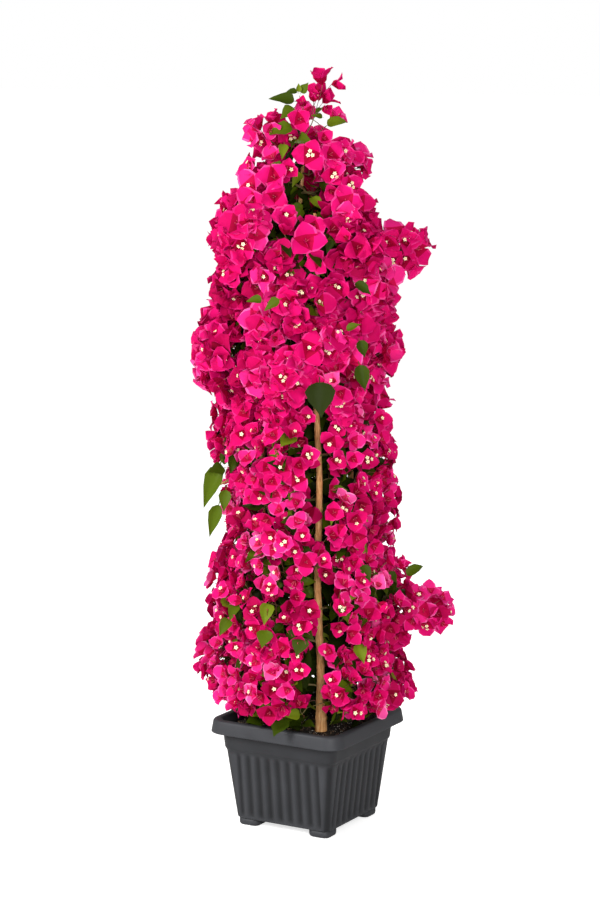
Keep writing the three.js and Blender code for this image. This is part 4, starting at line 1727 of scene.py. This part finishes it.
class BOUGAINVILLEA_OT_flowers(bpy.types.Operator):
    """Makes the tiny cream flowers inside the bracts"""

    bl_idname = "bougainvillea.flowers"
    bl_label = "Flowers"

    def execute(self, context):
        plant = grown(context.scene)
        rng = random.Random(plant.settings.seed + 2)
        # Painted light: the flowers glow faintly in their own colour.
        materials = [
            plain_material(name, colour, 0.55, Emission_Color=linear(colour), Emission_Strength=0.06)
            for name, colour in zip(("flower_tube", "flower_star", "flower_eye"), FLOWER_COLOURS)
        ]
        places = []
        for bloom in plant.blooms:
            low, high = [56, 36, 6, 2], [60, 12, 14, 14]
            share = height_share(bloom.at.z)
            opened = rng.choices([0, 1, 2, 3], [mix(a, b, share) for a, b in zip(low, high)])[0]
            size = rng.uniform(0.026, 0.031)
            places.append((bloom.at, bloom.turn, size, opened * 2 + rng.randint(0, 1), 0))
        templates = [
            template_object(f"flowers_{k // 2}_{k % 2}", *flower_template(k // 2, 50 + k)) for k in range(8)
        ]
        keep(dealt_piece("cream_flowers", templates, places, materials, 1))
        return {"FINISHED"}


# How wide, folded and drooping each shape of leaf is. The last is only for leaves that are placed one by one.
LEAF_SHAPES = [(0.94, 0.25, 8), (0.64, 0.45, 24), (0.56, 0.30, 92), (0.74, 0.60, 34), (0.46, 0.55, 12)]


class BOUGAINVILLEA_OT_leaves(bpy.types.Operator):
    """Makes the leaves that the twigs bear, and the few large ones that hang out of the crown"""

    bl_idname = "bougainvillea.leaves"
    bl_label = "Leaves"

    def execute(self, context):
        settings = context.scene.leaf_settings
        plant = grown(context.scene)
        rng = random.Random(plant.settings.seed + 3)
        materials = [
            plain_material(f"leaf_green_{i + 1}", colour, 0.5, Specular_IOR_Level=0.08)
            for i, colour in enumerate(LEAF_COLOURS)
        ]
        growth = plant.growth
        carried = growth.loads()
        outer, inner = [], []
        for i in range(growth.wooden, len(growth.parents)):
            at = Vector(growth.points[i])
            deep = plant.outline.depth(at) > DEEP_LEAF
            # Stalks bear few leaves, and old twigs none. High up, few leaves show between the blooms.
            share = settings.share * (1.0 if carried[i] > 1 else 0.2)
            if not deep:
                share *= mix(1.2, 0.16, height_share(at.z))
            if carried[i] > 12 or rng.random() > share:
                continue
            leaf = self.leaf(at, rng, settings, plant.rim.z)
            if self.fits(leaf, plant):
                (inner if deep else outer).append(leaf)
        for joint, facing in plant.shoots:
            at = Vector(growth.points[joint])
            side = facing.orthogonal()
            for k in range(rng.randint(3, 5)):
                way = Quaternion(facing, k * 2.4 + rng.uniform(-0.4, 0.4)) @ side
                along = (way + facing * rng.uniform(-0.1, 0.5) - UP * 0.15).normalized()
                length = rng.uniform(settings.short, settings.long) * 1.08
                turn = self.pointing(along, turned(facing, 0.3, rng))
                # Painted shade: the deep shoots' leaves take mostly the darkest greens, for the shade inside
                # the crown.
                leaf = (at, turn, length, rng.randint(0, 3), rng.choice([0, 0, 0, 1, 2]))
                if self.fits(leaf, plant):
                    inner.append(leaf)
        for place, way, length, shape in MARKED_LEAVES:
            tints = [0, 1, 1, 2] if 0.8 < place[1] < 1.2 else [1, 2, 2, 3]
            look = self.pointing(heading(*way), UP * 0.8 + TOWARD)
            outer.append((seen(*place), look, length, shape, rng.choice(tints)))
        rows = {"leaves": [u for u, _ in LEAF_OUTLINE], "inner_leaves": [0.0, 0.2, 0.55, 1.0]}
        for name, places in (("leaves", outer), ("inner_leaves", inner)):
            templates = [
                template_object(f"{name}_{k}", *leaf_template(*shape, rows[name]))
                for k, shape in enumerate(LEAF_SHAPES)
            ]
            piece = dealt_piece(name, templates, places, materials, 1)
            keep(piece, ["left_leaf_spray"] if name == "leaves" else ())
        return {"FINISHED"}

    @staticmethod
    def pointing(along, face):
        """The rotation that lays a leaf along a direction, with its face towards another."""
        back = -(face - along * face.dot(along)).normalized()
        return Matrix((back, along.cross(back), along)).transposed().to_quaternion()

    def leaf(self, at, rng, settings, floor):
        """One leaf on a twig: outwards and to one side, its tip hanging, its face up and out."""
        out = way_out(math.atan2(at.y, at.x))
        aside = UP.cross(out) * rng.choice([-1, 1])
        drop = rng.uniform(-0.75, 0.25)
        if at.z < floor + 0.05:
            drop = abs(drop) * 0.3
        along = (out * rng.uniform(0.2, 0.9) + aside * rng.uniform(0.1, 1.1) + UP * drop).normalized()
        length = rng.uniform(settings.short, settings.long)
        tint = rng.choices([0, 1, 2, 3, 4], [4, 6, 5, 2, 1] if at.z > 0.42 else [3, 4, 5, 4, 3])[0]
        face = turned((out * 0.8 + UP * 0.7).normalized(), 0.3, rng)
        return at, self.pointing(along, face), length, rng.randint(0, 3), tint

    @staticmethod
    def fits(leaf, plant):
        """Whether a leaf stays inside the crown, out of the partings and clear of the planter's rim."""
        at, turn, length = leaf[:3]
        for share in (0.4, 0.9):
            point = at + turn @ UP * length * share
            if plant.outline.depth(point) < 0.006 or point.z > TOP_LEAF:
                return False
            if point.z < plant.rim.z + CLEARANCE and max(abs(point.x), abs(point.y)) > plant.rim.x - 0.03:
                return False
            if in_parting(point, plant.rng, 0.005):
                return False
        return True


# --- Stage ----------------------------------------------------------------------------------------


class BOUGAINVILLEA_OT_stage(bpy.types.Operator):
    """Sets the pale floor, the soft light and the camera"""

    bl_idname = "bougainvillea.stage"
    bl_label = "Stage"

    def execute(self, context):
        settings = context.scene.stage_settings
        self.floor()
        self.lights(context)
        data = bpy.data.cameras.new("camera")
        data.lens = settings.lens
        camera = new_object("camera", data)
        camera.location = TOWARD * settings.distance - RIGHT * settings.aside + UP * settings.height
        ahead = -TOWARD * math.cos(settings.pitch) - UP * math.sin(settings.pitch)
        camera.rotation_mode = "QUATERNION"
        camera.rotation_quaternion = ahead.to_track_quat("-Z", "Y")
        context.scene.camera = camera
        context.scene.view_settings.view_transform = "Standard"
        return {"FINISHED"}

    def floor(self):
        """A plain pale floor that runs on into the white background."""
        material, tree, shader = new_material(
            "pale_floor",
            Base_Color=linear("e6e5e4"),
            Roughness=1.0,
            Specular_IOR_Level=0.0,
            Emission_Color=(1, 1, 1, 1),
        )
        ray = add_node(tree, "ShaderNodeLightPath")
        glow = {0: ray.outputs["Is Camera Ray"], 1: 0.7}
        shown = add_node(tree, "ShaderNodeMath", glow, operation="MULTIPLY")
        tree.links.new(shown.outputs[0], shader.inputs["Emission Strength"])
        reach = 60
        corners = [(-reach, -reach, 0), (reach, -reach, 0), (reach, reach, 0), (-reach, reach, 0)]
        mesh_object("floor", corners, [(0, 1, 2, 3)], [material], smooth=False)

    def lights(self, context):
        """White surroundings, a large soft light to the left, and weaker ones in front and behind."""
        world = bpy.data.worlds.new("white_studio")
        world.use_nodes = True
        background = world.node_tree.nodes["Background"]
        background.inputs["Color"].default_value = (1, 1, 1, 1)
        ray = add_node(world.node_tree, "ShaderNodeLightPath")
        # The background is shown whiter than it lights.
        strength = add_node(
            world.node_tree, "ShaderNodeMapRange", {"Value": ray.outputs["Is Camera Ray"], "To Min": 0.44}
        )
        world.node_tree.links.new(strength.outputs["Result"], background.inputs["Strength"])
        context.scene.world = world
        middle = Vector((0, 0, 0.75))
        for name, place, size, power in [
            ("key_light", TOWARD * 2.0 - RIGHT * 2.8 + UP * 2.2, 1.2, 116),
            ("front_light", TOWARD * 3.6 + RIGHT * 0.6 + UP * 1.5, 1.4, 80),
            ("back_light", TOWARD * -2.6 - RIGHT * 0.6 + UP * 2.8, 1.6, 45),
        ]:
            data = bpy.data.lights.new(name, "AREA")
            data.size, data.energy = size, power
            light = new_object(name, data)
            light.location = place
            light.rotation_euler = (middle - place).to_track_quat("-Z", "Y").to_euler()


# --- Add-on ---------------------------------------------------------------------------------------

OPERATORS = [
    BOUGAINVILLEA_OT_planter,
    BOUGAINVILLEA_OT_compost,
    BOUGAINVILLEA_OT_wood,
    BOUGAINVILLEA_OT_twigs,
    BOUGAINVILLEA_OT_bracts,
    BOUGAINVILLEA_OT_flowers,
    BOUGAINVILLEA_OT_leaves,
    BOUGAINVILLEA_OT_stage,
]
SETTINGS = {
    "planter_settings": PlanterSettings,
    "compost_settings": CompostSettings,
    "growth_settings": GrowthSettings,
    "bloom_settings": BloomSettings,
    "leaf_settings": LeafSettings,
    "stage_settings": StageSettings,
}


class BOUGAINVILLEA_PT_panel(bpy.types.Panel):
    """Lists the plant's settings and the operators that make its pieces"""

    bl_idname = "BOUGAINVILLEA_PT_panel"
    bl_label = "Potted bougainvillea"
    bl_space_type = "VIEW_3D"
    bl_region_type = "UI"
    bl_category = "Bougainvillea"

    def draw(self, context):
        for name, group in SETTINGS.items():
            box = self.layout.box()
            box.label(text=group.__name__.replace("Settings", ""))
            for setting in group.__annotations__:
                box.prop(getattr(context.scene, name), setting)
        for operator in OPERATORS:
            self.layout.operator(operator.bl_idname)


def register():
    for name, group in SETTINGS.items():
        bpy.utils.register_class(group)
        setattr(bpy.types.Scene, name, bpy.props.PointerProperty(type=group))
    for cls in [*OPERATORS, BOUGAINVILLEA_PT_panel]:
        bpy.utils.register_class(cls)


def unregister():
    for cls in reversed([*OPERATORS, BOUGAINVILLEA_PT_panel]):
        bpy.utils.unregister_class(cls)
    for name, group in reversed(SETTINGS.items()):
        delattr(bpy.types.Scene, name)
        bpy.utils.unregister_class(group)


def main():
    register()
    for operator in OPERATORS:
        module, name = operator.bl_idname.split(".")
        getattr(getattr(bpy.ops, module), name)()
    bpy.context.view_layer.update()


if __name__ == "__main__":
    main()
